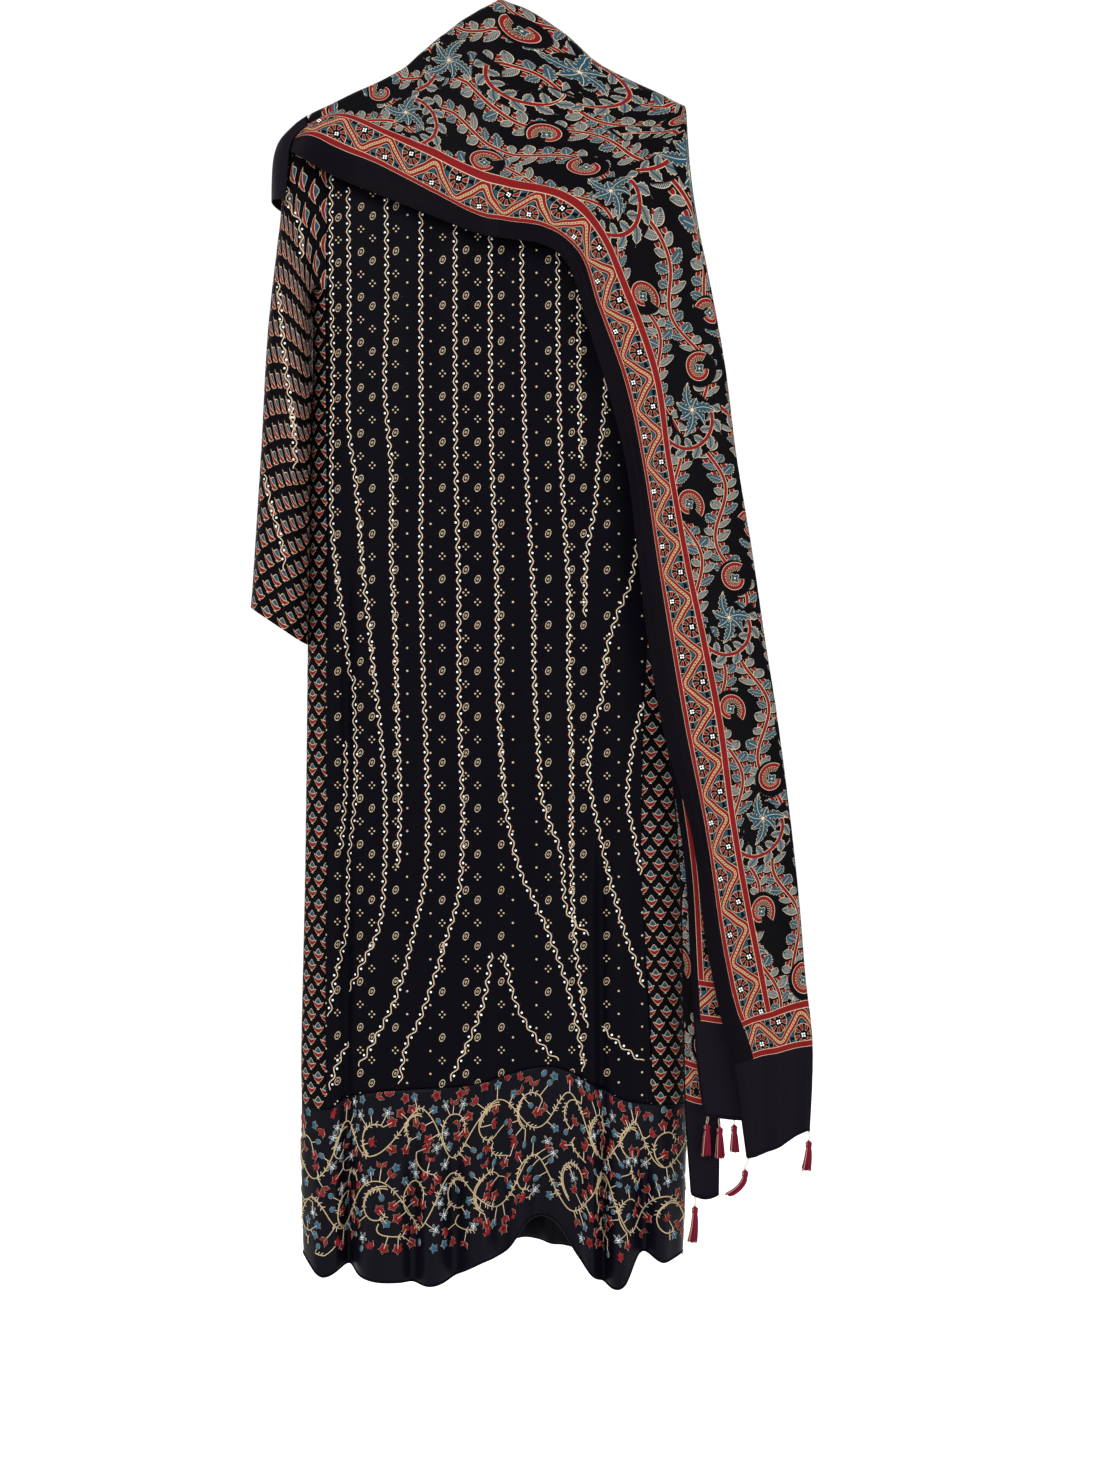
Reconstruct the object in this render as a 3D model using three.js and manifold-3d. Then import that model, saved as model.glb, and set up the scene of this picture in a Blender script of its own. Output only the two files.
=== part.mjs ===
import * as THREE from 'three'
import { mergeVertices } from 'three/addons/utils/BufferGeometryUtils.js'
import Module from 'manifold-3d'

// Salwar suit on a hanger: an ankle-length kurta with a gathered hem band, and a dupatta over its shoulders.
// Millimetres, +Z up, the front faces -Y. The origin is where a rail holds the crown of the hook.

// Driving sizes
const WALL = 1.2
const SEAM = 0.3
const LAYER = WALL + 1.5
const ARM_RADIUS = 5
const ARM_FIT = 1.1
const ARM_TIP = 178
const HOOK_RADIUS = 22
const HOOK_WIRE = 2.5
const HOOK_ROOM = 3.6
const BAR_Z = -232
const SHOULDER_TIP = 190
const UNDERARM_Z = -385
const NECK_HALF = 76
const FRONT_NECK_DROP = 96
const BACK_NECK_DROP = 34
const NECK_STAND = 1.6
const BODY_DEPTH = 44
const DRAPE_LENGTH = 110
const CAP_SHARE = 0.06
const BACK_SEAM_X = 176
const BACK_BAND_Z = -1250
const BACK_HEM_Z = -1412

// Centre line of a hanger arm: distance from the hook, height
const ARM = [
  { x: 0, z: -86 },
  { x: 25, z: -97 },
  { x: 61, z: -122 },
  { x: 102, z: -156 },
  { x: 177, z: -193 },
  { x: 205, z: -209 },
  { x: 245, z: -252 },
  { x: 340, z: -380 },
]

// Outline of the kurta body by height, and the seams beside its front panel
const BODY = [
  { z: -1440, left: -210, right: 193, seamLeft: -184, seamRight: 160 },
  { z: -1345, left: -213, right: 197, seamLeft: -184, seamRight: 160 },
  { z: -1260, left: -213, right: 198, seamLeft: -184, seamRight: 160 },
  { z: -1190, left: -213, right: 198, seamLeft: -184, seamRight: 160 },
  { z: -1000, left: -209, right: 200, seamLeft: -184, seamRight: 149 },
  { z: -820, left: -207, right: 200, seamLeft: -184, seamRight: 152 },
  { z: -600, left: -205, right: 200, seamLeft: -184, seamRight: 168 },
  { z: -385, left: -203, right: 200, seamLeft: -186, seamRight: 183 },
  { z: -290, left: -224, right: 222, seamLeft: -183, seamRight: 183 },
  { z: -190, left: -250, right: 250, seamLeft: -190, seamRight: 190 },
  { z: -60, left: -260, right: 260, seamLeft: -190, seamRight: 190 },
]

// Height of the seam above the hem band, and of the hem itself, along the front
const BAND_SEAM = [
  { x: -214, z: -1249 },
  { x: -181, z: -1252 },
  { x: -155, z: -1236 },
  { x: -94, z: -1229 },
  { x: -23, z: -1223 },
  { x: 29, z: -1207 },
  { x: 61, z: -1206 },
  { x: 98, z: -1224 },
  { x: 135, z: -1242 },
  { x: 198, z: -1250 },
]
const HEM = [
  { x: -214, z: -1408 },
  { x: -190, z: -1429 },
  { x: -163, z: -1418 },
  { x: -148, z: -1426 },
  { x: -100, z: -1431 },
  { x: -60, z: -1431 },
  { x: -20, z: -1410 },
  { x: 6, z: -1401 },
  { x: 32, z: -1368 },
  { x: 60, z: -1370 },
  { x: 84, z: -1404 },
  { x: 112, z: -1433 },
  { x: 134, z: -1434 },
  { x: 150, z: -1404 },
  { x: 176, z: -1413 },
  { x: 198, z: -1408 },
]

// Folds that hang down the front and the back: place, half width, lift outwards, heights they run between
const FRONT_FOLDS = [
  { x: -162, half: 7, lift: -9, top: -640, foot: -1600 },
  { x: -109, half: 15, lift: -4, top: -720, foot: -1050 },
  { x: -136, half: 12, lift: 3, top: -700, foot: -1600 },
  { x: -62, half: 22, lift: 3, top: -560, foot: -1600 },
  { x: -2, half: 8, lift: -4, top: -960, foot: -1600 },
  { x: 38, half: 20, lift: 3, top: -600, foot: -1600 },
  { x: 76, half: 13, lift: -4, top: -700, foot: -1600 },
  { x: 94, half: 8, lift: 3, top: -900, foot: -1600 },
  { x: 107, half: 6, lift: -8, top: -900, foot: -1600 },
]
const BACK_FOLDS = [
  { x: -128, half: 10, lift: -7, top: -620, foot: -1600 },
  { x: -70, half: 22, lift: 3, top: -480, foot: -1600 },
  { x: -18, half: 9, lift: -6, top: -760, foot: -1600 },
  { x: 30, half: 18, lift: 3, top: -560, foot: -1600 },
  { x: 84, half: 11, lift: -7, top: -700, foot: -1600 },
]

// Gathers of the hem band: place, half width, lift at the hem
const FRONT_GATHERS = [
  { x: -194, half: 9, lift: 7 },
  { x: -159, half: 10, lift: -15 },
  { x: -124, half: 20, lift: 9 },
  { x: -92, half: 8, lift: -9 },
  { x: -73, half: 11, lift: 8 },
  { x: -48, half: 9, lift: -12 },
  { x: -22, half: 11, lift: 7 },
  { x: 4, half: 9, lift: -8 },
  { x: 42, half: 20, lift: -20 },
  { x: 96, half: 8, lift: 9 },
  { x: 110, half: 5, lift: -7 },
  { x: 126, half: 10, lift: 10 },
  { x: 152, half: 8, lift: -13 },
  { x: 173, half: 9, lift: 7 },
]
const BACK_GATHERS = [
  { x: -176, half: 9, lift: 7 },
  { x: -150, half: 9, lift: -10 },
  { x: -110, half: 15, lift: 9 },
  { x: -80, half: 9, lift: -10 },
  { x: -44, half: 13, lift: 9 },
  { x: -14, half: 9, lift: -11 },
  { x: 22, half: 13, lift: 9 },
  { x: 54, half: 9, lift: -10 },
  { x: 92, half: 15, lift: 9 },
  { x: 128, half: 9, lift: -10 },
  { x: 164, half: 11, lift: 8 },
]

// Sleeves from armhole to cuff: the outer and inner edges of each section, and half its depth
const SLEEVE_LEFT = [
  { ox: -190, oy: 0, oz: -195, ix: -203, iy: 0, iz: -384, half: 34 },
  { ox: -212, oy: 0, oz: -213, ix: -208, iy: 0, iz: -382, half: 34 },
  { ox: -228, oy: 0, oz: -248, ix: -210, iy: 0, iz: -406, half: 37 },
  { ox: -235, oy: 0, oz: -315, ix: -210, iy: 0, iz: -455, half: 44 },
  { ox: -247, oy: 0, oz: -426, ix: -209, iy: 0, iz: -540, half: 50 },
  { ox: -254, oy: 0, oz: -548, ix: -209, iy: 0, iz: -625, half: 50 },
  { ox: -261, oy: 0, oz: -650, ix: -210, iy: 0, iz: -706, half: 49 },
  { ox: -266, oy: 0, oz: -721, ix: -211, iy: 0, iz: -761, half: 48 },
]
const SLEEVE_RIGHT = [
  { ox: 190, oy: 0, oz: -195, ix: 200, iy: 0, iz: -384, half: 34 },
  { ox: 197, oy: 5, oz: -214, ix: 208, iy: 6, iz: -380, half: 34 },
  { ox: 200, oy: 22, oz: -262, ix: 209, iy: 42, iz: -412, half: 28 },
  { ox: 206, oy: 46, oz: -335, ix: 192, iy: 68, iz: -460, half: 23 },
  { ox: 220, oy: 60, oz: -430, ix: 156, iy: 71, iz: -540, half: 20 },
  { ox: 232, oy: 68, oz: -545, ix: 138, iy: 72, iz: -625, half: 19 },
  { ox: 240, oy: 70, oz: -650, ix: 129, iy: 72, iz: -706, half: 19 },
  { ox: 244, oy: 71, oz: -730, ix: 124, iy: 72, iz: -761, half: 19 },
]

// Dupatta over the front, from its end at the foot up to the left shoulder:
// its free edge, the middle of its border and its outer edge or the ridge that it is folded over
const DUPATTA = [
  { ex: 257, ez: -1297, bx: 281, bz: -1289, ox: 322, oz: -1268 },
  { ex: 243, ez: -1200, bx: 276, bz: -1190, ox: 325, oz: -1180 },
  { ex: 228, ez: -1140, bx: 263, bz: -1125, ox: 317, oz: -1105 },
  { ex: 213, ez: -1060, bx: 248, bz: -1045, ox: 310, oz: -1020 },
  { ex: 200, ez: -960, bx: 226, bz: -948, ox: 300, oz: -930 },
  { ex: 172, ez: -860, bx: 212, bz: -852, ox: 288, oz: -838 },
  { ex: 156, ez: -770, bx: 196, bz: -765, ox: 275, oz: -755 },
  { ex: 145, ez: -680, bx: 178, bz: -675, ox: 262, oz: -665 },
  { ex: 133, ez: -580, bx: 162, bz: -575, ox: 246, oz: -565 },
  { ex: 112, ez: -495, bx: 148, bz: -485, ox: 234, oz: -470 },
  { ex: 90, ez: -425, bx: 118, bz: -400, ox: 217, oz: -375 },
  { ex: 73, ez: -370, bx: 96, bz: -340, ox: 200, oz: -285 },
  { ex: 44, ez: -346, bx: 60, bz: -300, ox: 186, oz: -190 },
  { ex: -12, ez: -338, bx: -8, bz: -284, ox: 98, oz: -142 },
  { ex: -70, ez: -316, bx: -66, bz: -258, ox: 0, oz: -74 },
  { ex: -130, ez: -290, bx: -126, bz: -232, ox: -98, oz: -142 },
  { ex: -184, ez: -266, bx: -180, bz: -214, ox: -160, oz: -174 },
  { ex: -222, ez: -240, bx: -219, bz: -224, ox: -205, oz: -199 },
]

// Lengthwise folds of the dupatta: place across it from free edge to outer edge, half width, lift
const DUPATTA_FOLDS = [
  { across: 0.14, half: 0.08, lift: 3.5 },
  { across: 0.36, half: 0.06, lift: -1.5 },
  { across: 0.56, half: 0.1, lift: 5 },
  { across: 0.8, half: 0.06, lift: -1.5 },
  { across: 0.94, half: 0.06, lift: 3 },
]

// The two falls behind the first one: their left and right edges by height
const SECOND_FALL = [
  { z: -1254, left: 213, right: 292 },
  { z: -1200, left: 206, right: 302 },
  { z: -1110, left: 200, right: 298 },
  { z: -1000, left: 194, right: 286 },
  { z: -900, left: 180, right: 272 },
  { z: -750, left: 155, right: 256 },
  { z: -600, left: 140, right: 235 },
  { z: -450, left: 124, right: 205 },
  { z: -300, left: 117, right: 178 },
  { z: -210, left: 115, right: 168 },
  { z: -100, left: 115, right: 168 },
]
const THIRD_FALL = [
  { z: -1338, left: 200, right: 229 },
  { z: -1250, left: 194, right: 230 },
  { z: -1110, left: 191, right: 229 },
  { z: -1000, left: 188, right: 227 },
  { z: -900, left: 180, right: 222 },
  { z: -750, left: 162, right: 212 },
  { z: -600, left: 148, right: 200 },
  { z: -450, left: 133, right: 182 },
  { z: -300, left: 124, right: 168 },
  { z: -210, left: 121, right: 158 },
  { z: -100, left: 121, right: 158 },
]

// How far each layer of the dupatta stands off the kurta, at the shoulder and lower down
const THIRD_OFF = { near: LAYER, far: 7 }
const SECOND_OFF = { near: 2 * LAYER, far: 14 }
const FRONT_OFF = { near: 3 * LAYER, far: 22 }
const LEFT_NEAR = 1.35 * LAYER
const BACK_LEFT = -196
const TURN_GAP = 3
const BACK_OFF = FRONT_OFF

// Where the dupatta is parted into its pieces, along its front and across its back
const CHEST_FROM = 12 / 17
const CHEST_PART = 0.0002
const BACK_PARTS = [48, -48]

// Half the gap of the side seam, as a share of the way round a side panel
const SIDE_PART = 0.0026

// Row at which each long panel is parted into a lower and an upper length
const PANEL_PART = 7
const SIDE_PANEL_PART = 5

// A fall's v at the ridge, how far it is tucked down behind, and the middle of the dupatta's border
const OVER = 0.93
const TUCK = 50
const MID = 0.45

// The dupatta round the left shoulder: how far to the side its sections are drawn, by height
const TURN_FOOT = -300
const TURN_TOP = -196
const TURN = [
  { z: -310, pull: -252 },
  { z: -275, pull: -254 },
  { z: -245, pull: -253 },
  { z: -225, pull: -247 },
  { z: -212, pull: -236 },
  { z: -203, pull: -222 },
  { z: -196, pull: -209 },
]
const SHOULDER_LIFT = 14

// Tassels: the cloth each thread leaves, the place across its foot, its swing to the side, and its lengths
const TASSELS = [
  { name: 'tassel_third_fall', from: 'third', across: 0.13, swing: 0, thread: 9, length: 36 },
  { name: 'tassel_second_left', from: 'second', across: 0.05, swing: -2, thread: 7, length: 30 },
  { name: 'tassel_second_middle', from: 'second', across: 0.2, swing: 1, thread: 8, length: 30 },
  { name: 'tassel_second_right', from: 'second', across: 0.39, swing: 1, thread: 4, length: 26 },
  { name: 'tassel_end_left', from: 'front', across: 0.03, swing: -8, thread: 11, length: 27 },
  { name: 'tassel_end_right', from: 'front', across: 0.985, swing: -1, thread: 9, length: 29 },
]
const STRANDS = 10

const colours = {
  black: { color: 0x0f0f14, roughness: 0.5, metalness: 0 },
  printed: { color: 0x1c1a26, roughness: 0.55, metalness: 0 },
  band: { color: 0x16151c, roughness: 0.4, metalness: 0 },
  dupatta: { color: 0x5e1722, roughness: 0.5, metalness: 0 },
  maroon: { color: 0x5a1220, roughness: 0.7, metalness: 0 },
  blue: { color: 0x2f6fb5, roughness: 0.35, metalness: 0 },
}

const wasm = await Module()
wasm.setup()

function mix(a, b, t) {
  return a + (b - a) * t
}

function ease(from, to, at) {
  const t = Math.min(1, Math.max(0, (at - from) / (to - from)))
  return t * t * (3 - 2 * t)
}

// Value of one column of a table, smooth through its rows, held level past both ends
function read(rows, key, column, at) {
  const last = rows.length - 1
  if (at <= rows[0][key]) return rows[0][column]
  if (at >= rows[last][key]) return rows[last][column]
  let k = 0
  while (rows[k + 1][key] < at) k += 1
  const slope = (i) => {
    const a = rows[Math.max(0, i - 1)]
    const b = rows[Math.min(last, i + 1)]
    return (b[column] - a[column]) / (b[key] - a[key])
  }
  const step = rows[k + 1][key] - rows[k][key]
  const t = (at - rows[k][key]) / step
  const rise = t * t * (3 - 2 * t)
  const bend = slope(k) * t * (1 - t) ** 2 - slope(k + 1) * t * t * (1 - t)
  return mix(rows[k][column], rows[k + 1][column], rise) + bend * step
}

// The same along a table whose rows are evenly spaced stations from 0 to 1
function along(rows, column, t) {
  const last = rows.length - 1
  const place = Math.min(last - 1e-9, Math.max(0, t * last))
  const k = Math.floor(place)
  const f = place - k
  const value = (i) => rows[Math.min(last, Math.max(0, i))][column]
  const [a, b, c, d] = [value(k - 1), value(k), value(k + 1), value(k + 2)]
  const smooth = b + 0.5 * f * (c - a + f * (2 * a - 5 * b + 4 * c - d + f * (3 * (b - c) + d - a)))
  return smooth + (t < 0 ? (t * last) * (value(1) - value(0)) : 0) +
    (t > 1 ? (t - 1) * last * (value(last) - value(last - 1)) : 0)
}

function bell(at, place, half) {
  return Math.exp(-(((at - place) / half) ** 2))
}

function armZ(x) {
  return read(ARM, 'x', 'z', Math.abs(x))
}

// Height over the arm's centre line of cloth that stands this far off it, measured straight up
function rise(x, cap) {
  const slope = armZ(Math.abs(x) + 1) - armZ(Math.max(0, Math.abs(x) - 1))
  return cap * Math.hypot(1, slope / 2)
}

// Cloth over an arm: a round cap, then easing out to its full depth
function drape(drop, cap, high, deep) {
  if (drop <= 0) return 0
  if (drop < high) return cap * Math.sqrt(1 - ((high - drop) / high) ** 2)
  return cap + (deep - cap) * (1 - Math.exp(-(drop - high) / DRAPE_LENGTH))
}

// Drop below the ridge: the last CAP_SHARE of v goes round the cap, the rest down to the full drop
function dropAt(v, high, full) {
  if (v > 1 - CAP_SHARE) return high * (1 - Math.cos((1 - v) / CAP_SHARE * Math.PI / 2))
  return mix(full, high, v / (1 - CAP_SHARE))
}

const KURTA_CAP = ARM_RADIUS + ARM_FIT + WALL

function kurtaTop(x) {
  return armZ(x) + rise(x, KURTA_CAP)
}

function foldLift(folds, x, z) {
  let lift = 0
  for (const fold of folds) {
    const run = ease(fold.top, fold.top - 160, z) * ease(fold.foot - 160, fold.foot, z)
    lift += fold.lift * run * bell(x, fold.x, fold.half)
  }
  return lift
}

function gatherLift(gathers, x, below) {
  let lift = 0
  for (const gather of gathers) lift += gather.lift * bell(x, gather.x, gather.half)
  return lift * ease(0, 120, below)
}

function bodyEdges(z) {
  const left = read(BODY, 'z', 'left', z)
  const right = read(BODY, 'z', 'right', z)
  return { middle: (left + right) / 2, half: (right - left) / 2 }
}

// Angle round the body of a place across it: 0 at its left side, 180 degrees at its right
function angleOf(x, z) {
  const { middle, half } = bodyEdges(z)
  const across = Math.min(1, Math.max(-1, (x - middle) / half))
  return Math.acos(-Math.sign(across) * across ** 2)
}

// Point of the kurta's outer face at this angle, front (-1) or back (1), with an extra lift outwards
function bodyPoint(side, angle, z, lift = () => 0) {
  const { middle, half } = bodyEdges(z)
  const turned = -Math.cos(angle)
  const x = middle + half * Math.sign(turned) * Math.sqrt(Math.abs(turned))
  const round = Math.sin(angle)
  const high = rise(x, KURTA_CAP)
  const depth = drape(kurtaTop(x) - z, KURTA_CAP, high, BODY_DEPTH) * round
  const folds = side < 0 ? FRONT_FOLDS : BACK_FOLDS
  const raised = (foldLift(folds, x, z) + lift(x)) * Math.max(-1, Math.min(1, 1.5 * round))
  return [x, side * (depth + raised), z]
}

// Closed shell of a cloth surface: its outer face, moved in by the wall for the inner face, with closed rims
function cloth(surface, us, vs, { wrap = false, wall = WALL } = {}) {
  const step = 1e-4
  const columns = us.length
  const rows = vs.length
  const positions = []
  const place = (u, v) => {
    const [x, y, z] = surface(u, v)
    return new THREE.Vector3(x, y, z)
  }
  const outer = []
  const inner = []
  for (const v of vs) {
    for (const u of us) {
      const point = place(u, v)
      const du = place(u + step, v).sub(place(u - step, v))
      const dv = place(u, v + step).sub(place(u, v - step))
      const normal = du.cross(dv).normalize()
      outer.push(point)
      inner.push(point.clone().addScaledVector(normal, -wall))
    }
  }
  for (const point of [...outer, ...inner]) positions.push(point.x, point.y, point.z)
  const faces = []
  const inside = outer.length
  const at = (i, j) => j * columns + (i % columns)
  const quad = (a, b, c, d) => faces.push(a, b, c, a, c, d)
  const spans = wrap ? columns : columns - 1
  for (let j = 0; j < rows - 1; j += 1) {
    for (let i = 0; i < spans; i += 1) {
      quad(at(i, j), at(i + 1, j), at(i + 1, j + 1), at(i, j + 1))
      quad(inside + at(i, j), inside + at(i, j + 1), inside + at(i + 1, j + 1), inside + at(i + 1, j))
    }
  }
  for (let i = 0; i < spans; i += 1) {
    quad(at(i, 0), inside + at(i, 0), inside + at(i + 1, 0), at(i + 1, 0))
    quad(at(i + 1, rows - 1), inside + at(i + 1, rows - 1), inside + at(i, rows - 1), at(i, rows - 1))
  }
  if (!wrap) {
    for (let j = 0; j < rows - 1; j += 1) {
      quad(at(0, j + 1), inside + at(0, j + 1), inside + at(0, j), at(0, j))
      const edge = columns - 1
      quad(at(edge, j), inside + at(edge, j), inside + at(edge, j + 1), at(edge, j + 1))
    }
  }
  const geometry = new THREE.BufferGeometry()
  geometry.setAttribute('position', new THREE.Float32BufferAttribute(positions, 3))
  geometry.setIndex(faces)
  return geometry
}

function evenly(count) {
  return Array.from({ length: count + 1 }, (_, i) => i / count)
}

// Even steps, with more of them round each fold, and the ones that have to be there
function stepsRound(places, from, to, count, wanted = []) {
  const least = (to - from) / count / 3
  let steps = evenly(count).map((t) => mix(from, to, t))
  for (const { x, half } of places) {
    for (const offset of [-half, 0, half]) steps.push(x + offset)
  }
  steps = steps.filter((x) => wanted.every((at) => Math.abs(at - x) > least / 2))
  steps.push(...wanted)
  steps.sort((a, b) => a - b)
  const kept = []
  for (const at of steps) {
    if (at < from || at > to) continue
    if (kept.length && at - kept[kept.length - 1] < least && !wanted.includes(at)) continue
    kept.push(at)
  }
  if (to - kept[kept.length - 1] < least) kept.pop()
  kept.push(to)
  return kept
}

// Places along a panel's foot that run up to both sides of the neck
function neckColumns(from, to) {
  const reach = [NECK_HALF + 0.5, NECK_HALF - 5, -NECK_HALF - 0.5, 5 - NECK_HALF]
  return reach.map((x) => mix(from, to, (x + SHOULDER_TIP) / (2 * SHOULDER_TIP)))
}

const FRONT_COLUMNS = stepsRound(FRONT_FOLDS, -184, 160, 13, neckColumns(-184, 160))
const BACK_NECK = neckColumns(-BACK_SEAM_X, BACK_SEAM_X)
const BACK_COLUMNS = stepsRound(BACK_FOLDS, -BACK_SEAM_X, BACK_SEAM_X, 9, BACK_NECK)
const PANEL_ROWS = [...evenly(14).map((t) => t * (1 - CAP_SHARE)), 0.96, 0.98, 1]

// Columns of a half of the hem band: those of the panel above it, more at its gathers, and round both sides
function bandColumns(side, panelColumns, gathers) {
  const from = panelColumns[0]
  const to = panelColumns[panelColumns.length - 1]
  const crests = gathers.filter(({ x }) => panelColumns.every((at) => Math.abs(at - x) > 4)).map(({ x }) => x)
  const inner = [...panelColumns, ...crests].filter((x) => x >= from && x <= to).sort((a, b) => a - b)
  const angles = inner.map((x) => angleOf(x, BACK_BAND_Z))
  const left = evenly(4).slice(0, -1).map((t) => t * angles[0])
  const right = evenly(4).slice(1).map((t) => mix(angles[angles.length - 1], Math.PI, t))
  const turns = [...left, ...angles, ...right]
  return side < 0 ? turns : turns.map((angle) => Math.PI - angle).reverse()
}

function sharesOf(columns) {
  const from = columns[0]
  const to = columns[columns.length - 1]
  return columns.map((at) => (at - from) / (to - from))
}

// Drop of the neck edge below the shoulder line
function neckDropAt(x, neckDrop) {
  if (Math.abs(x) >= NECK_HALF) return 0
  const neckZ = kurtaTop(NECK_HALF) - neckDrop * Math.cos(Math.PI * x / (2 * NECK_HALF))
  return kurtaTop(x) - neckZ
}

function frontFootZ(x) {
  return read(BAND_SEAM, 'x', 'z', x) + 2 * SEAM
}

// Front or back panel: u from its left seam to its right, v from the hem band up to the shoulder
function panel(side, neckDrop) {
  return (u, v) => {
    const shoulderX = mix(-SHOULDER_TIP, SHOULDER_TIP, u)
    const top = kurtaTop(shoulderX)
    const high = rise(shoulderX, KURTA_CAP)
    const footX = panelX(side, u, BACK_BAND_Z)
    const footZ = side < 0 ? frontFootZ(footX) : BACK_BAND_Z + 2 * SEAM
    const neck = neckDropAt(shoulderX, neckDrop)
    const drop = mix(dropAt(v, high, top - footZ), mix(top - footZ, neck, v), ease(0, 20, neck))
    const z = top - drop
    const x = panelX(side, u, z)
    const point = bodyPoint(side, angleOf(x, z), z)
    const depth = drape(drop, KURTA_CAP, high, BODY_DEPTH) * Math.sin(angleOf(x, z))
    const standOff = NECK_STAND * bell(Math.abs(shoulderX), NECK_HALF - 2, 7) * ease(60, 10, drop)
    const y = drop < 2 * high ? side * (depth + SEAM / 2) : point[1]
    return [x, y + side * standOff, z]
  }
}

function panelX(side, u, z) {
  const inset = SEAM / 2
  let left = read(BODY, 'z', 'seamLeft', z)
  let right = read(BODY, 'z', 'seamRight', z)
  if (side > 0 && z < UNDERARM_Z) {
    const settle = ease(UNDERARM_Z, UNDERARM_Z - 200, z)
    left = mix(left, -BACK_SEAM_X, settle)
    right = mix(right, BACK_SEAM_X, settle)
  }
  return mix(left + inset, right - inset, u)
}

// Place on a side panel: t from its front seam round to its back seam
function sidePoint(hand, t, z) {
  const edge = hand > 0 ? 1 : 0
  const turn = (side) => {
    const angle = angleOf(panelX(side, edge, z) + hand * SEAM, z)
    return hand > 0 ? Math.PI - angle : angle
  }
  const angle = mix(turn(-1), -turn(1), t)
  const round = hand > 0 ? Math.PI - angle : angle
  return bodyPoint(-1, round, z)
}

// Front or back half of a side panel: u across it, v from the hem band up to the underarm
function sidePanel(hand, side) {
  const [from, to] = side < 0 ? [0, 0.5 - SIDE_PART] : [0.5 + SIDE_PART, 1]
  return (u, v) => {
    const t = mix(from, to, hand > 0 ? u : 1 - u)
    const [footX, footY] = sidePoint(hand, t, BACK_BAND_Z)
    const footZ = mix(frontFootZ(footX), BACK_BAND_Z + 2 * SEAM, ease(0, 6, footY))
    return sidePoint(hand, t, mix(footZ, UNDERARM_Z, v))
  }
}

// Half of the hem band: the angle round the body, and v from the hem up to the seam
function band(side) {
  return (turn, v) => {
    const angle = side < 0 ? turn : Math.PI - turn
    const [seamX] = bodyPoint(side, angle, BACK_BAND_Z)
    const seamZ = side < 0 ? read(BAND_SEAM, 'x', 'z', seamX) : BACK_BAND_Z
    const backHem = BACK_HEM_Z + 5 * Math.sin(seamX / 21) * Math.sin(angle)
    const hemZ = side < 0 ? read(HEM, 'x', 'z', seamX) : backHem
    const z = mix(hemZ, seamZ, v)
    const gathers = side < 0 ? FRONT_GATHERS : BACK_GATHERS
    const point = bodyPoint(side, angle, z, (x) => gatherLift(gathers, x, seamZ - z))
    return [point[0], point[1] + side * SEAM / 2, z]
  }
}

// Loop of the armhole on the body, from the shoulder down the front, under the arm and up the back
function armhole(hand) {
  const edge = hand > 0 ? 1 : 0
  const gap = hand * 3 * SEAM
  const climb = (surface) => {
    const list = []
    for (const v of PANEL_ROWS) {
      const [x, y, z] = surface(edge, v)
      if (z > UNDERARM_Z + 20) list.push(new THREE.Vector3(x + gap, y, z))
    }
    return list
  }
  const under = []
  for (let k = 0; k <= 8; k += 1) {
    const [x, y, z] = sidePoint(hand, k / 8, UNDERARM_Z)
    under.push(new THREE.Vector3(x + gap, y, z + 4 * SEAM))
  }
  const front = climb(panel(-1, FRONT_NECK_DROP)).reverse()
  const back = climb(panel(1, BACK_NECK_DROP)).slice(0, -1)
  return new THREE.CatmullRomCurve3([...front, ...under, ...back], true, 'centripetal')
}

// Sleeve: u round it, v from the cuff up to the armhole
function sleeve(rows, hand) {
  const loop = armhole(hand)
  return (u, v) => {
    const down = 1 - v
    const turn = ((hand > 0 ? 1 - u : u) % 1 + 1) % 1
    const start = loop.getPointAt(turn)
    const [ox, oy, oz] = ['ox', 'oy', 'oz'].map((c) => along(rows, c, down))
    const [ix, iy, iz] = ['ix', 'iy', 'iz'].map((c) => along(rows, c, down))
    const half = along(rows, 'half', down)
    const angle = 2 * Math.PI * turn
    const across = Math.cos(angle) / 2
    const x = (ox + ix) / 2 + (ox - ix) * across
    const y = (oy + iy) / 2 + (oy - iy) * across - half * Math.sin(angle)
    const z = (oz + iz) / 2 + (oz - iz) * across
    const settled = ease(0, 0.34, down)
    return [mix(start.x, x, settled), mix(start.y, y, settled), mix(start.z, z, settled)]
  }
}

// How far a layer of the dupatta stands off the arm
function layerCap(x, off) {
  return KURTA_CAP + off.near * mix(LEFT_NEAR / FRONT_OFF.near, 1, ease(-60, 60, x))
}

function layerTop(x, off) {
  return armZ(x) + rise(x, layerCap(x, off))
}

function layerDepth(x, drop, off) {
  const cap = layerCap(x, off)
  return drape(drop, cap, rise(x, cap), BODY_DEPTH + off.far)
}

// Half the gap along the ridge, wider where the hook passes
function parting(x) {
  return SEAM + HOOK_ROOM * bell(x, 0, 10)
}

// Smooth line through three values, the second at MID
function through(e, b, o, u) {
  const up = (b - e) / MID
  const on = (o - b) / (1 - MID)
  const bend = (up + on) / 2
  if (u < MID) {
    const t = u / MID
    return mix(e, b, t) + (bend - up) * MID * t * t * (t - 1)
  }
  const t = (u - MID) / (1 - MID)
  return mix(b, o, t) + (bend - on) * (1 - MID) * t * (1 - t) ** 2
}

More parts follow.
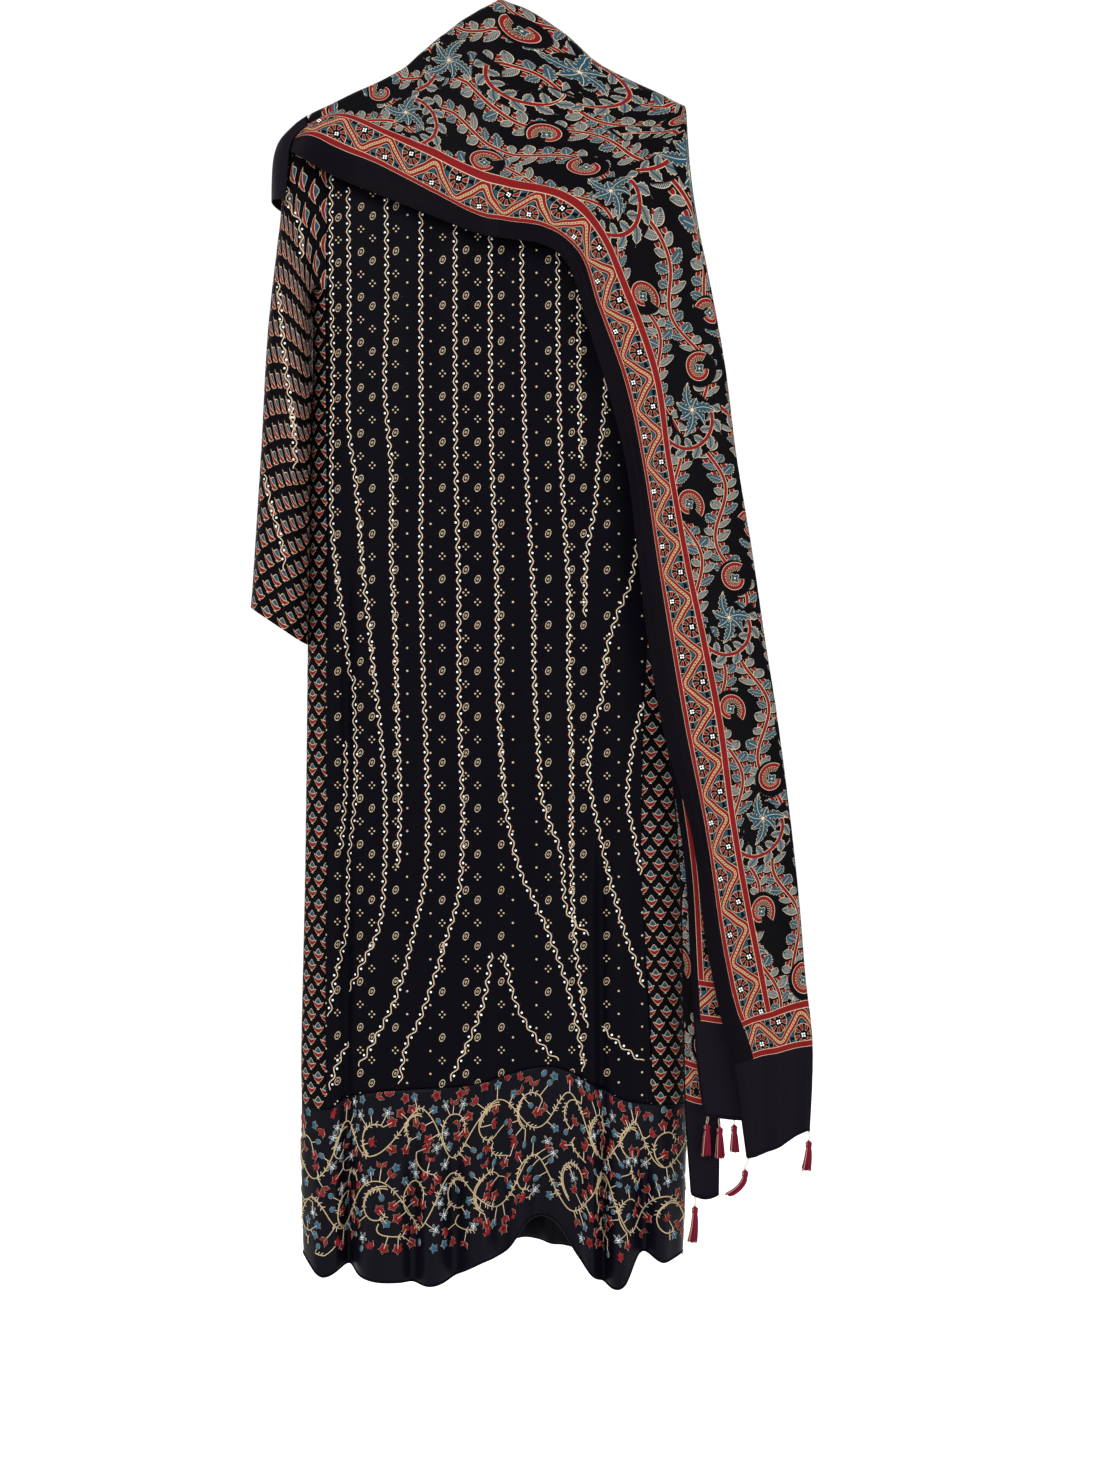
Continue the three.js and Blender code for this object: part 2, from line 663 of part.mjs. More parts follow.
// Dupatta over the front: u from its free edge to its outer edge or ridge, v from its end up to the shoulder
function dupattaFront(u, v) {
  const [ex, ez, bx, bz, ox, oz] = ['ex', 'ez', 'bx', 'bz', 'ox', 'oz'].map((c) => along(DUPATTA, c, v))
  const onRidge = ease(0.6, 0.7, v)
  const cap = layerCap(ox, FRONT_OFF)
  const high = rise(ox, cap)
  const flat = 1 - CAP_SHARE
  const brimX = ox - 4 * (1 - onRidge)
  const ridge = mix(oz, layerTop(ox, FRONT_OFF), onRidge)
  const brimZ = ridge - high * onRidge
  let fall = 0
  for (const fold of DUPATTA_FOLDS) fall += fold.lift * bell(u, fold.across, fold.half)
  let x
  let z
  let drop
  if (u < flat) {
    x = through(ex, bx, brimX, u / flat)
    z = through(ez, bz, brimZ, u / flat)
    drop = Math.max(layerTop(x, FRONT_OFF) - z, high * onRidge)
  } else {
    const t = (u - flat) / CAP_SHARE
    x = mix(brimX, ox, t)
    z = mix(oz, brimZ + high * Math.sin(t * Math.PI / 2), onRidge)
    drop = layerTop(x, FRONT_OFF) - z
  }
  const lift = fall * ease(0.75, 0.6, v) + SHOULDER_LIFT * ease(-150, -215, x)
  const depth = layerDepth(x, drop, FRONT_OFF) + lift * ease(0, 60, drop)
  return [x, -depth - parting(x), z]
}

// Dupatta across the back of the shoulders: by place across, and v up to the ridge
function dupattaBack(x, v) {
  const top = layerTop(x, BACK_OFF)
  const foot = -318 - 26 * Math.cos((x - 30) / 90)
  const drop = dropAt(v, rise(x, layerCap(x, BACK_OFF)), top - foot)
  const z = top - drop
  const lift = 2.5 * Math.sin(x / 17 + z / 60) * ease(10, 90, drop) + SHOULDER_LIFT * ease(-150, -215, x)
  return [x, layerDepth(x, drop, BACK_OFF) + lift * ease(0, 60, drop) + parting(x), z]
}

// Place where a rising line of a surface reaches this height
function pointAt(line, z) {
  let low = 0
  let high = 1
  for (let k = 0; k < 30; k += 1) {
    const mid = (low + high) / 2
    if (line(mid)[2] < z) low = mid
    else high = mid
  }
  return line(low)
}

// The dupatta round the left shoulder: u from back to front, v up
function dupattaTurn(u, v) {
  const z = mix(TURN_FOOT + 8 * Math.cos(3 * u - 1.5), TURN_TOP, v)
  const pull = read(TURN, 'z', 'pull', z)
  const [bx, by] = pointAt((t) => dupattaBack(BACK_LEFT, t), z)
  const corner = dupattaFront(0, 1)
  const [fx, fy] = z > corner[2] ? pointAt((t) => dupattaFront(t, 1), z) : corner
  const splay = 0.5 * Math.max(0, corner[2] - z)
  const ends = [bx - 2 * SEAM, by, fx - TURN_GAP, fy - splay]
  const [w0, w1, w2, w3] = [(1 - u) ** 3, 3 * u * (1 - u) ** 2, 3 * u * u * (1 - u), u ** 3]
  const x = w0 * ends[0] + (w1 + w2) * pull + w3 * ends[2]
  const y = (w0 + w1) * ends[1] + (w2 + w3) * ends[3]
  return [x, y, z]
}

// A fall of the dupatta over the right shoulder behind the first one, v from its foot up and over
function hangingFall(rows, off, ruffle) {
  const last = rows[rows.length - 1]
  return (u, v) => {
    const topX = mix(last.left, last.right, u)
    const top = layerTop(topX, off)
    const cap = layerCap(topX, off)
    const high = rise(topX, cap)
    const foot = rows[0].z - 5 * Math.sin(Math.PI * u)
    const behind = v > OVER
    const drop = behind ? dropAt((1 - v) / (1 - OVER), high, TUCK) : dropAt(v / OVER, high, top - foot)
    const z = top - drop
    const x = behind ? topX : mix(read(rows, 'z', 'left', z), read(rows, 'z', 'right', z), u)
    const lift = ruffle * Math.sin(2 * Math.PI * u + z / 130) * ease(30, 260, drop)
    const depth = drape(drop, cap, high, BODY_DEPTH + off.far) + lift
    return [x, behind ? depth : -depth, z]
  }
}

function merged(geometry) {
  const plain = geometry.clone()
  for (const name of Object.keys(plain.attributes)) {
    if (name !== 'position') plain.deleteAttribute(name)
  }
  const welded = mergeVertices(plain, 1e-4)
  return new wasm.Manifold(new wasm.Mesh({
    numProp: 3,
    vertProperties: new Float32Array(welded.attributes.position.array),
    triVerts: new Uint32Array(welded.index.array),
  }))
}

function geometryOf(solid) {
  const { vertProperties, triVerts } = solid.getMesh()
  const geometry = new THREE.BufferGeometry()
  geometry.setAttribute('position', new THREE.Float32BufferAttribute(vertProperties, 3))
  geometry.setIndex([...triVerts])
  return geometry
}

function joined(pieces) {
  let whole = merged(pieces[0])
  for (const piece of pieces.slice(1)) whole = whole.add(merged(piece))
  return geometryOf(whole)
}

// Round bar along a list of points, closed into a loop or with flat ends
function bar(points, radius, sides, steps, loop = false) {
  const curve = new THREE.CatmullRomCurve3(points, loop, 'centripetal')
  const rings = []
  const count = loop ? steps : steps + 1
  for (let k = 0; k < count; k += 1) {
    const centre = curve.getPointAt(k / steps)
    const along = curve.getTangentAt(k / steps)
    const side = new THREE.Vector3(0, 1, 0)
    const up = along.clone().cross(side).normalize()
    const ring = []
    for (let i = 0; i < sides; i += 1) {
      const angle = 2 * Math.PI * i / sides
      ring.push(centre.clone().addScaledVector(side, radius * Math.cos(angle))
        .addScaledVector(up, radius * Math.sin(angle)))
    }
    rings.push(ring)
  }
  const positions = rings.flat().flatMap((p) => [p.x, p.y, p.z])
  const faces = []
  const at = (i, k) => (k % count) * sides + (i % sides)
  for (let k = 0; k < steps; k += 1) {
    for (let i = 0; i < sides; i += 1) {
      faces.push(at(i, k), at(i + 1, k), at(i + 1, k + 1), at(i, k), at(i + 1, k + 1), at(i, k + 1))
    }
  }
  if (!loop) {
    for (let i = 1; i < sides - 1; i += 1) {
      faces.push(at(0, 0), at(i + 1, 0), at(i, 0))
      faces.push(at(0, steps), at(i, steps), at(i + 1, steps))
    }
  }
  const geometry = new THREE.BufferGeometry()
  geometry.setAttribute('position', new THREE.Float32BufferAttribute(positions, 3))
  geometry.setIndex(faces)
  return geometry
}

function hangerGeometry() {
  const arms = []
  for (const x of [-ARM_TIP, -168, -140, -102, -61, -25, 0, 25, 61, 102, 140, 168, ARM_TIP]) {
    arms.push(new THREE.Vector3(x, 0, armZ(x) - (Math.abs(x) === ARM_TIP ? 2 : 0)))
  }
  arms.push(new THREE.Vector3(ARM_TIP - 3, 0, BAR_Z + 14))
  arms.push(new THREE.Vector3(ARM_TIP - 26, 0, BAR_Z))
  arms.push(new THREE.Vector3(0, 0, BAR_Z))
  arms.push(new THREE.Vector3(26 - ARM_TIP, 0, BAR_Z))
  arms.push(new THREE.Vector3(3 - ARM_TIP, 0, BAR_Z + 14))
  const frame = bar(arms, ARM_RADIUS, 8, 56, true)
  const centreZ = HOOK_WIRE - HOOK_RADIUS
  const wire = [new THREE.Vector3(0, 0, armZ(0)), new THREE.Vector3(0, 0, centreZ - HOOK_RADIUS - 14)]
  for (const degrees of [-40, 0, 40, 90, 140, 190]) {
    const angle = degrees * Math.PI / 180
    wire.push(new THREE.Vector3(HOOK_RADIUS * Math.cos(angle), 0, centreZ + HOOK_RADIUS * Math.sin(angle)))
  }
  return joined([frame, bar(wire, HOOK_WIRE, 8, 26)])
}

function tasselGeometry({ swing, thread, length }) {
  const headZ = -thread - 3
  const headX = swing * 0.5
  const stem = bar([new THREE.Vector3(0, 0, 0), new THREE.Vector3(headX * 0.6, 0, -thread / 2),
    new THREE.Vector3(headX, 0, headZ)], 0.8, 4, 3)
  const outline = [[0, 3.4], [2.2, 2.6], [3.1, 0], [2.6, -3], [0, -3.6]]
  const head = new THREE.LatheGeometry(outline.map(([r, z]) => new THREE.Vector2(r, z)).reverse(), 10)
  head.rotateX(Math.PI / 2)
  head.translate(headX, 0, headZ)
  const pieces = [head, stem]
  for (let k = 0; k < STRANDS; k += 1) {
    const inner = k % 4 === 0
    const angle = 2 * Math.PI * k / STRANDS
    const root = inner ? 0.7 : 1.9
    const spread = inner ? 1.4 : 3.5
    const foot = headZ - length * (inner ? 0.94 : 0.88 + 0.1 * Math.sin(k * 2.4))
    const dx = Math.cos(angle)
    const dy = Math.sin(angle)
    const path = [new THREE.Vector3(headX + root * dx, root * dy, headZ - 0.5),
      new THREE.Vector3(headX + swing * 0.4 + spread * dx, spread * dy, foot)]
    pieces.push(bar(path, 0.6, 3, 1))
  }
  return joined(pieces)
}

const group = new THREE.Group()

function add(name, geometry, colour, at = [0, 0, 0]) {
  const mesh = new THREE.Mesh(geometry, new THREE.MeshStandardMaterial(colours[colour]))
  mesh.name = name
  mesh.position.set(...at)
  group.add(mesh)
}

// A long panel in two lengths, a seam's gap apart at one of its rows
function addLengths(name, surface, columns, rows, row, colour) {
  const tall = surface(0.5, 1)[2] - surface(0.5, 0)[2]
  const gap = SEAM / 2 / tall
  const below = rows.slice(0, row)
  const above = rows.slice(row + 1)
  add(`${name}_lower`, cloth(surface, columns, [...below, rows[row] - gap]), colour)
  add(`${name}_upper`, cloth(surface, columns, [rows[row] + gap, ...above]), colour)
}

const frontPanel = panel(-1, FRONT_NECK_DROP)
const backPanel = panel(1, BACK_NECK_DROP)
addLengths('kurta_front', frontPanel, sharesOf(FRONT_COLUMNS), PANEL_ROWS, PANEL_PART, 'black')
const turnedBack = (u, v) => backPanel(1 - u, v)
addLengths('kurta_back', turnedBack, sharesOf(BACK_COLUMNS), PANEL_ROWS, PANEL_PART, 'black')
const SIDES = [
  ['kurta_side_left_front', -1, -1],
  ['kurta_side_left_back', -1, 1],
  ['kurta_side_right_front', 1, -1],
  ['kurta_side_right_back', 1, 1],
]
for (const [name, hand, side] of SIDES) {
  const footZ = frontFootZ(hand * 190)
  const heights = PANEL_ROWS.map((v) => frontPanel(hand > 0 ? 1 : 0, v)[2]).filter((z) => z < UNDERARM_Z - 12)
  const rows = [...heights.map((z) => Math.max(0, (z - footZ) / (UNDERARM_Z - footZ))), 1]
  rows[0] = 0
  addLengths(name, sidePanel(hand, side), evenly(3), rows, SIDE_PANEL_PART, 'printed')
}
add('hem_band_front', cloth(band(-1), bandColumns(-1, FRONT_COLUMNS, FRONT_GATHERS), evenly(5)), 'band')
add('hem_band_back', cloth(band(1), bandColumns(1, BACK_COLUMNS, BACK_GATHERS), evenly(4)), 'band')

const ROUND = evenly(22).slice(0, -1)
add('sleeve_left', cloth(sleeve(SLEEVE_LEFT, -1), ROUND, evenly(14), { wrap: true }), 'printed')
add('sleeve_right', cloth(sleeve(SLEEVE_RIGHT, 1), ROUND, evenly(14), { wrap: true }), 'printed')

const ACROSS = [0, 0.08, 0.16, 0.26, 0.36, 0.46, 0.56, 0.67, 0.78, 0.87, 0.94, 0.96, 0.98, 1]
const CAP_ROWS = [0.96, 0.98, 1]
const secondFall = hangingFall(SECOND_FALL, SECOND_OFF, 1.6)
const thirdFall = hangingFall(THIRD_FALL, THIRD_OFF, 1)
const fallRows = [...evenly(22).map((t) => t * OVER * (1 - CAP_SHARE)), ...CAP_ROWS.map((t) => t * OVER),
  ...[1, 0.98, 0.96, 0.94, 0.5, 0].slice(1).map((t) => 1 - t * (1 - OVER))]
const HOOK_STATION = 14 / 17
const FRONT_ROWS = [...evenly(34), HOOK_STATION - 0.006, HOOK_STATION + 0.006].sort((a, b) => a - b)
const HALF_BACK = [150, 124, 98, 72, 48, 26, 10]
const BACK_PLACES = [176, ...HALF_BACK, 0, ...HALF_BACK.map((x) => -x).reverse(), -174, BACK_LEFT]
const BACK_ROWS = [...evenly(6).map((t) => t * 0.94), ...CAP_ROWS]
const fallFront = FRONT_ROWS.filter((v) => v < CHEST_FROM - 0.001)
const chestFront = FRONT_ROWS.filter((v) => v > CHEST_FROM + 0.001)
add('dupatta_front', cloth(dupattaFront, ACROSS, [...fallFront, CHEST_FROM - CHEST_PART]), 'dupatta')
add('dupatta_chest', cloth(dupattaFront, ACROSS, [CHEST_FROM + CHEST_PART, ...chestFront]), 'dupatta')

// One length of the dupatta's back, between two places across it
function backLength(name, from, to) {
  const places = [from, ...BACK_PLACES.filter((x) => x < from && x > to), to]
  add(name, cloth((x, v) => dupattaBack(-x, v), places.map((x) => -x), BACK_ROWS), 'dupatta')
}

backLength('dupatta_back_right', BACK_PLACES[0], BACK_PARTS[0] + SEAM / 2)
backLength('dupatta_back_middle', BACK_PARTS[0] - SEAM / 2, BACK_PARTS[1] + SEAM / 2)
backLength('dupatta_back_left', BACK_PARTS[1] - SEAM / 2, BACK_LEFT)
add('dupatta_turn', cloth(dupattaTurn, evenly(8), evenly(6)), 'dupatta')
add('dupatta_second_fall', cloth(secondFall, evenly(5), fallRows), 'dupatta')
add('dupatta_third_fall', cloth(thirdFall, evenly(3), fallRows), 'dupatta')

const hangingFrom = { front: dupattaFront, second: secondFall, third: thirdFall }
for (const tassel of TASSELS) {
  const [x, y, z] = hangingFrom[tassel.from](tassel.across, 0)
  add(tassel.name, tasselGeometry(tassel), 'maroon', [x, y + WALL / 2, z - 2 * SEAM])
}

add('hanger', hangerGeometry(), 'blue')

export default group
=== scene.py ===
import math

import bmesh
import bpy
import numpy as np
from mathutils import Matrix, Vector
from mathutils.bvhtree import BVHTree


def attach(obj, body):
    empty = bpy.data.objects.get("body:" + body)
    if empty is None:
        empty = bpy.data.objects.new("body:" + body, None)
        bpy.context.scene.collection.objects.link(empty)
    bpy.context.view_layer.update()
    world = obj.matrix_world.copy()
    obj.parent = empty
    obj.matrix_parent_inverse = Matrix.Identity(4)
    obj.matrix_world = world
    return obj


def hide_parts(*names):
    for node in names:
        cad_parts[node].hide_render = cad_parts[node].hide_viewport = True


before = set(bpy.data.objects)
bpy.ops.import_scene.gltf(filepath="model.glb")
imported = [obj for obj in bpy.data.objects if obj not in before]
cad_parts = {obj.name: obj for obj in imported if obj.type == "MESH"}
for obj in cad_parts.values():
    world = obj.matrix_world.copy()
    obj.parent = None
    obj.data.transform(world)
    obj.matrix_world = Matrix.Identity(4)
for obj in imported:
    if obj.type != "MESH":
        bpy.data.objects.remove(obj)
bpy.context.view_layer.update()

# Sizes in millimetres, as in the part: z is up and the front faces -y
WALL = 1.2
SEAM = 0.3
LAYER = WALL + 1.5
ARM_RADIUS = 5
ARM_FIT = 1.1
ARM_TIP = 178
HOOK_RADIUS = 22
HOOK_WIRE = 2.5
HOOK_ROOM = 3.6
BAR_Z = -232
SHOULDER_TIP = 190
UNDERARM_Z = -385
NECK_HALF = 76
FRONT_NECK_DROP = 96
BACK_NECK_DROP = 34
NECK_STAND = 1.6
BODY_DEPTH = 44
DRAPE_LENGTH = 110
CAP_SHARE = 0.06
BACK_SEAM_X = 176
BACK_BAND_Z = -1250
BACK_HEM_Z = -1412
KURTA_CAP = ARM_RADIUS + ARM_FIT + WALL
TURN_ROUND = 6.283

# The drawn cloth: its thickness, the highest crease, and how near its rim a surface is read
CLOTH = 0.7
CREASE_TOP = 0.9
RIM = 2e-4

# Where the front's first dot column stands, and the shares of the dupatta's width used by its print
FIRST_WAVE = -159
BORDER_MIDDLE = 0.42
FIELD_SHARE = 0.517

# Hanger arm: distance from the hook, height
ARM = [(0, -86), (25, -97), (61, -122), (102, -156), (177, -193), (205, -209), (245, -252), (340, -380)]

# Kurta body: height, left side, right side, left seam, right seam
BODY = [
    (-1440, -210, 193, -184, 160), (-1345, -213, 197, -184, 160), (-1260, -213, 198, -184, 160),
    (-1190, -213, 198, -184, 160), (-1000, -209, 200, -184, 149), (-820, -207, 200, -184, 152),
    (-600, -205, 200, -184, 168), (-385, -203, 200, -186, 183), (-290, -224, 222, -183, 183),
    (-190, -250, 250, -190, 190), (-60, -260, 260, -190, 190),
]
BAND_SEAM = [
    (-214, -1249), (-181, -1252), (-155, -1236), (-94, -1229), (-23, -1223), (29, -1207), (61, -1206),
    (98, -1224), (135, -1242), (198, -1250),
]
HEM = [
    (-214, -1408), (-190, -1429), (-163, -1418), (-148, -1426), (-100, -1431), (-60, -1431), (-20, -1410),
    (6, -1401), (32, -1368), (60, -1370), (84, -1404), (112, -1433), (134, -1434), (150, -1404),
    (176, -1413), (198, -1408),
]

# Folds: place, half width, lift, top, foot
FRONT_FOLDS = [
    (-162, 7, -9, -640, -1600), (-109, 15, -4, -720, -1050), (-136, 12, 3, -700, -1600),
    (-62, 22, 3, -560, -1600), (-2, 8, -4, -960, -1600), (38, 20, 3, -600, -1600), (76, 13, -4, -700, -1600),
    (94, 8, 3, -900, -1600), (107, 6, -8, -900, -1600),
]
BACK_FOLDS = [
    (-128, 10, -7, -620, -1600), (-70, 22, 3, -480, -1600), (-18, 9, -6, -760, -1600),
    (30, 18, 3, -560, -1600), (84, 11, -7, -700, -1600),
]

# Gathers of the hem band: place, half width, lift
FRONT_GATHERS = [
    (-194, 9, 7), (-159, 10, -15), (-124, 20, 9), (-92, 8, -9), (-73, 11, 8), (-48, 9, -12), (-22, 11, 7),
    (4, 9, -8), (42, 20, -20), (96, 8, 9), (110, 5, -7), (126, 10, 10), (152, 8, -13), (173, 9, 7),
]
BACK_GATHERS = [
    (-176, 9, 7), (-150, 9, -10), (-110, 15, 9), (-80, 9, -10), (-44, 13, 9), (-14, 9, -11), (22, 13, 9),
    (54, 9, -10), (92, 15, 9), (128, 9, -10), (164, 11, 8),
]

# Sleeve sections from armhole to cuff: outer edge, inner edge, half depth
SLEEVE_LEFT = [
    (-190, 0, -195, -203, 0, -384, 34), (-212, 0, -213, -204, -4, -382, 34),
    (-228, 0, -248, -202, -9, -406, 37), (-235, 0, -315, -201.4, -11, -455, 44),
    (-247, 0, -426, -202.4, -12, -540, 50), (-254, 0, -548, -204, -13, -625, 50),
    (-261, 0, -650, -205, -13, -706, 49), (-266, 0, -721, -205.6, -13, -761, 48),
]
SLEEVE_RIGHT = [
    (190, 0, -195, 200, 0, -384, 34), (197, 5, -214, 208, 6, -380, 34),
    (200, 22, -262, 209, 42, -412, 28), (206, 46, -335, 192, 68, -460, 23),
    (220, 60, -430, 156, 71, -540, 20), (232, 68, -545, 138, 72, -625, 19),
    (240, 70, -650, 129, 72, -706, 19), (244, 71, -730, 124, 72, -761, 19),
]

# Dupatta over the front, foot to shoulder: free edge, middle of the border, outer edge,
# then how far across its red lines run
DUPATTA = [
    (257, -1297, 281, -1289, 322, -1268, 0.33, 0.60), (243, -1200, 276, -1190, 325, -1180, 0.27, 0.56),
    (228, -1140, 263, -1125, 317, -1105, 0.19, 0.57), (213, -1060, 248, -1045, 310, -1020, 0.19, 0.55),
    (200, -960, 226, -948, 300, -930, 0.26, 0.58), (172, -860, 212, -852, 288, -838, 0.25, 0.58),
    (156, -770, 196, -765, 275, -755, 0.26, 0.57), (145, -680, 178, -675, 262, -665, 0.28, 0.56),
    (133, -580, 162, -575, 246, -565, 0.28, 0.55), (112, -495, 148, -485, 234, -470, 0.24, 0.55),
    (90, -425, 118, -400, 217, -375, 0.24, 0.54), (73, -370, 96, -340, 200, -285, 0.26, 0.50),
    (44, -346, 60, -300, 186, -190, 0.18, 0.48), (-12, -338, -8, -284, 98, -142, 0.17, 0.47),
    (-70, -316, -66, -258, 0, -74, 0.23, 0.47), (-130, -290, -126, -232, -98, -142, 0.24, 0.52),
    (-184, -266, -180, -214, -160, -174, 0.25, 0.68), (-222, -240, -219, -224, -205, -199, 0.45, 0.94),
]

# Folds of the dupatta: place across it, half width, lift
DUPATTA_FOLDS = [(0.14, 0.08, 3.5), (0.36, 0.06, -1.5), (0.56, 0.1, 5), (0.8, 0.06, -1.5), (0.94, 0.06, 3)]

# The two falls behind it: height, left edge, right edge
SECOND_FALL = [
    (-1254, 213, 292), (-1200, 206, 302), (-1110, 200, 298), (-1000, 194, 286), (-900, 180, 272),
    (-750, 155, 256), (-600, 140, 235), (-450, 124, 205), (-300, 117, 178), (-210, 115, 168),
    (-100, 115, 168),
]
THIRD_FALL = [
    (-1338, 200, 229), (-1250, 194, 230), (-1110, 191, 229), (-1000, 188, 227), (-900, 180, 222),
    (-750, 162, 212), (-600, 148, 200), (-450, 133, 182), (-300, 124, 168), (-210, 121, 158),
    (-100, 121, 158),
]

# Round the left shoulder: height, outer edge
TURN = [(-310, -252), (-275, -254), (-245, -253), (-225, -247), (-212, -236), (-203, -222), (-196, -209)]

# How far each layer of the dupatta lies off the kurta, over the shoulder and below it
THIRD_OFF = (LAYER, 7)
SECOND_OFF = (2 * LAYER, 14)
FRONT_OFF = (3 * LAYER, 22)
LEFT_NEAR = 1.35 * LAYER
BACK_LEFT = -196
TURN_GAP = 3
OVER = 0.93
TUCK = 50
MID = 0.45
TURN_FOOT = -300
TURN_TOP = -196
SHOULDER_LIFT = 14

# Tassels: name, the cloth, place across its foot, swing, thread, length
TASSELS = [
    ("tassel_third_fall", "third", 0.13, 0, 9, 36), ("tassel_second_left", "second", 0.05, -2, 7, 30),
    ("tassel_second_middle", "second", 0.2, 1, 8, 30), ("tassel_second_right", "second", 0.39, 1, 4, 26),
    ("tassel_end_left", "front", 0.03, -8, 11, 27), ("tassel_end_right", "front", 0.985, -1, 9, 29),
]


# Shape of the cloth

def mix(a, b, t):
    return a + (b - a) * t


def ease(start, end, at):
    t = np.clip((at - start) / (end - start), 0, 1)
    return t * t * (3 - 2 * t)


def bell(at, place, half):
    return np.exp(-(((at - place) / half) ** 2))


def read(rows, column, at):
    rows = np.asarray(rows, float)
    keys = rows[:, 0]
    values = rows[:, column]
    slopes = np.empty(len(keys))
    slopes[1:-1] = (values[2:] - values[:-2]) / (keys[2:] - keys[:-2])
    slopes[0] = (values[1] - values[0]) / (keys[1] - keys[0])
    slopes[-1] = (values[-1] - values[-2]) / (keys[-1] - keys[-2])
    at = np.clip(np.asarray(at, float), keys[0], keys[-1])
    k = np.clip(np.searchsorted(keys, at) - 1, 0, len(keys) - 2)
    step = keys[k + 1] - keys[k]
    t = (at - keys[k]) / step
    bend = slopes[k] * t * (1 - t) ** 2 - slopes[k + 1] * t * t * (1 - t)
    return mix(values[k], values[k + 1], t * t * (3 - 2 * t)) + bend * step


def along(rows, column, t):
    values = np.asarray(rows, float)[:, column]
    last = len(values) - 1
    place = np.clip(np.asarray(t, float), 0, 1) * last
    k = np.minimum(place.astype(int), last - 1)
    f = place - k
    a, b, c, d = (values[np.clip(k + i, 0, last)] for i in (-1, 0, 1, 2))
    return b + 0.5 * f * (c - a + f * (2 * a - 5 * b + 4 * c - d + f * (3 * (b - c) + d - a)))


def arm_z(x):
    return read(ARM, 1, np.abs(x))


def rise(x, cap):
    slope = arm_z(np.abs(x) + 1) - arm_z(np.maximum(0, np.abs(x) - 1))
    return cap * np.hypot(1, slope / 2)


def drape(drop, cap, high, deep):
    round_top = cap * np.sqrt(np.clip(1 - ((high - drop) / high) ** 2, 0, 1))
    fall = cap + (deep - cap) * (1 - np.exp(-np.maximum(drop - high, 0) / DRAPE_LENGTH))
    return np.where(drop <= 0, 0, np.where(drop < high, round_top, fall))


def drop_at(v, high, full):
    cap = high * (1 - np.cos((1 - v) / CAP_SHARE * np.pi / 2))
    return np.where(v > 1 - CAP_SHARE, cap, mix(full, high, v / (1 - CAP_SHARE)))


def kurta_top(x):
    return arm_z(x) + rise(x, KURTA_CAP)


def fold_lift(folds, x, z):
    lift = 0
    for place, half, height, top, foot in folds:
        lift = lift + height * ease(top, top - 160, z) * ease(foot - 160, foot, z) * bell(x, place, half)
    return lift


def gather_lift(gathers, x, below):
    lift = sum(height * bell(x, place, half) for place, half, height in gathers)
    return lift * ease(0, 120, below)


def body_edges(z):
    left = read(BODY, 1, z)
    right = read(BODY, 2, z)
    return (left + right) / 2, (right - left) / 2


def angle_of(x, z):
    middle, half = body_edges(z)
    across = np.clip((x - middle) / half, -1, 1)
    return np.arccos(-np.sign(across) * across ** 2)


def body_point(side, angle, z, lift=None):
    middle, half = body_edges(z)
    turned = -np.cos(angle)
    x = middle + half * np.sign(turned) * np.sqrt(np.abs(turned))
    depth = drape(kurta_top(x) - z, KURTA_CAP, rise(x, KURTA_CAP), BODY_DEPTH) * np.sin(angle)
    folds = FRONT_FOLDS if side < 0 else BACK_FOLDS
    raised = fold_lift(folds, x, z) + (0 if lift is None else lift(x))
    return x, side * (depth + raised * np.clip(1.5 * np.sin(angle), -1, 1)), z


def neck_drop_at(x, neck_drop):
    neck_z = kurta_top(NECK_HALF) - neck_drop * np.cos(np.pi * x / (2 * NECK_HALF))
    return np.where(np.abs(x) >= NECK_HALF, 0, kurta_top(x) - neck_z)


def front_foot_z(x):
    return read(BAND_SEAM, 1, x) + 2 * SEAM


def panel_x(side, u, z):
    left = read(BODY, 3, z)
    right = read(BODY, 4, z)
    if side > 0:
        settle = ease(UNDERARM_Z, UNDERARM_Z - 200, z)
        left = mix(left, -BACK_SEAM_X, settle)
        right = mix(right, BACK_SEAM_X, settle)
    return mix(left, right, u)


def panel(side, neck_drop):
    def place(u, v):
        shoulder_x = mix(-SHOULDER_TIP, SHOULDER_TIP, u)
        top = kurta_top(shoulder_x)
        high = rise(shoulder_x, KURTA_CAP)
        foot_z = front_foot_z(panel_x(side, u, BACK_BAND_Z)) if side < 0 else BACK_BAND_Z
        neck = neck_drop_at(shoulder_x, neck_drop)
        drop = mix(drop_at(v, high, top - foot_z), mix(top - foot_z, neck, v), ease(0, 20, neck))
        z = top - drop
        x = panel_x(side, u, z)
        angle = angle_of(x, z)
        depth = drape(drop, KURTA_CAP, high, BODY_DEPTH) * np.sin(angle)
        stand_off = NECK_STAND * bell(np.abs(shoulder_x), NECK_HALF - 2, 7) * ease(60, 10, drop)
        y = np.where(drop < 2 * high, side * (depth + SEAM / 2), body_point(side, angle, z)[1])
        return np.stack([x, y + side * stand_off, z], -1)
    return place


def side_point(hand, t, z):
    def turn(side):
        angle = angle_of(panel_x(side, 1 if hand > 0 else 0, z), z)
        return np.pi - angle if hand > 0 else angle
    angle = mix(turn(-1), -turn(1), t)
    return body_point(-1, np.pi - angle if hand > 0 else angle, z)


def side_panel(hand):
    def place(u, v):
        t = u if hand > 0 else 1 - u
        foot = side_point(hand, t, np.full_like(t, BACK_BAND_Z))
        foot_z = mix(front_foot_z(foot[0]), BACK_BAND_Z, ease(0, 6, foot[1]))
        return np.stack(side_point(hand, t, mix(foot_z, UNDERARM_Z, v)), -1)
    return place


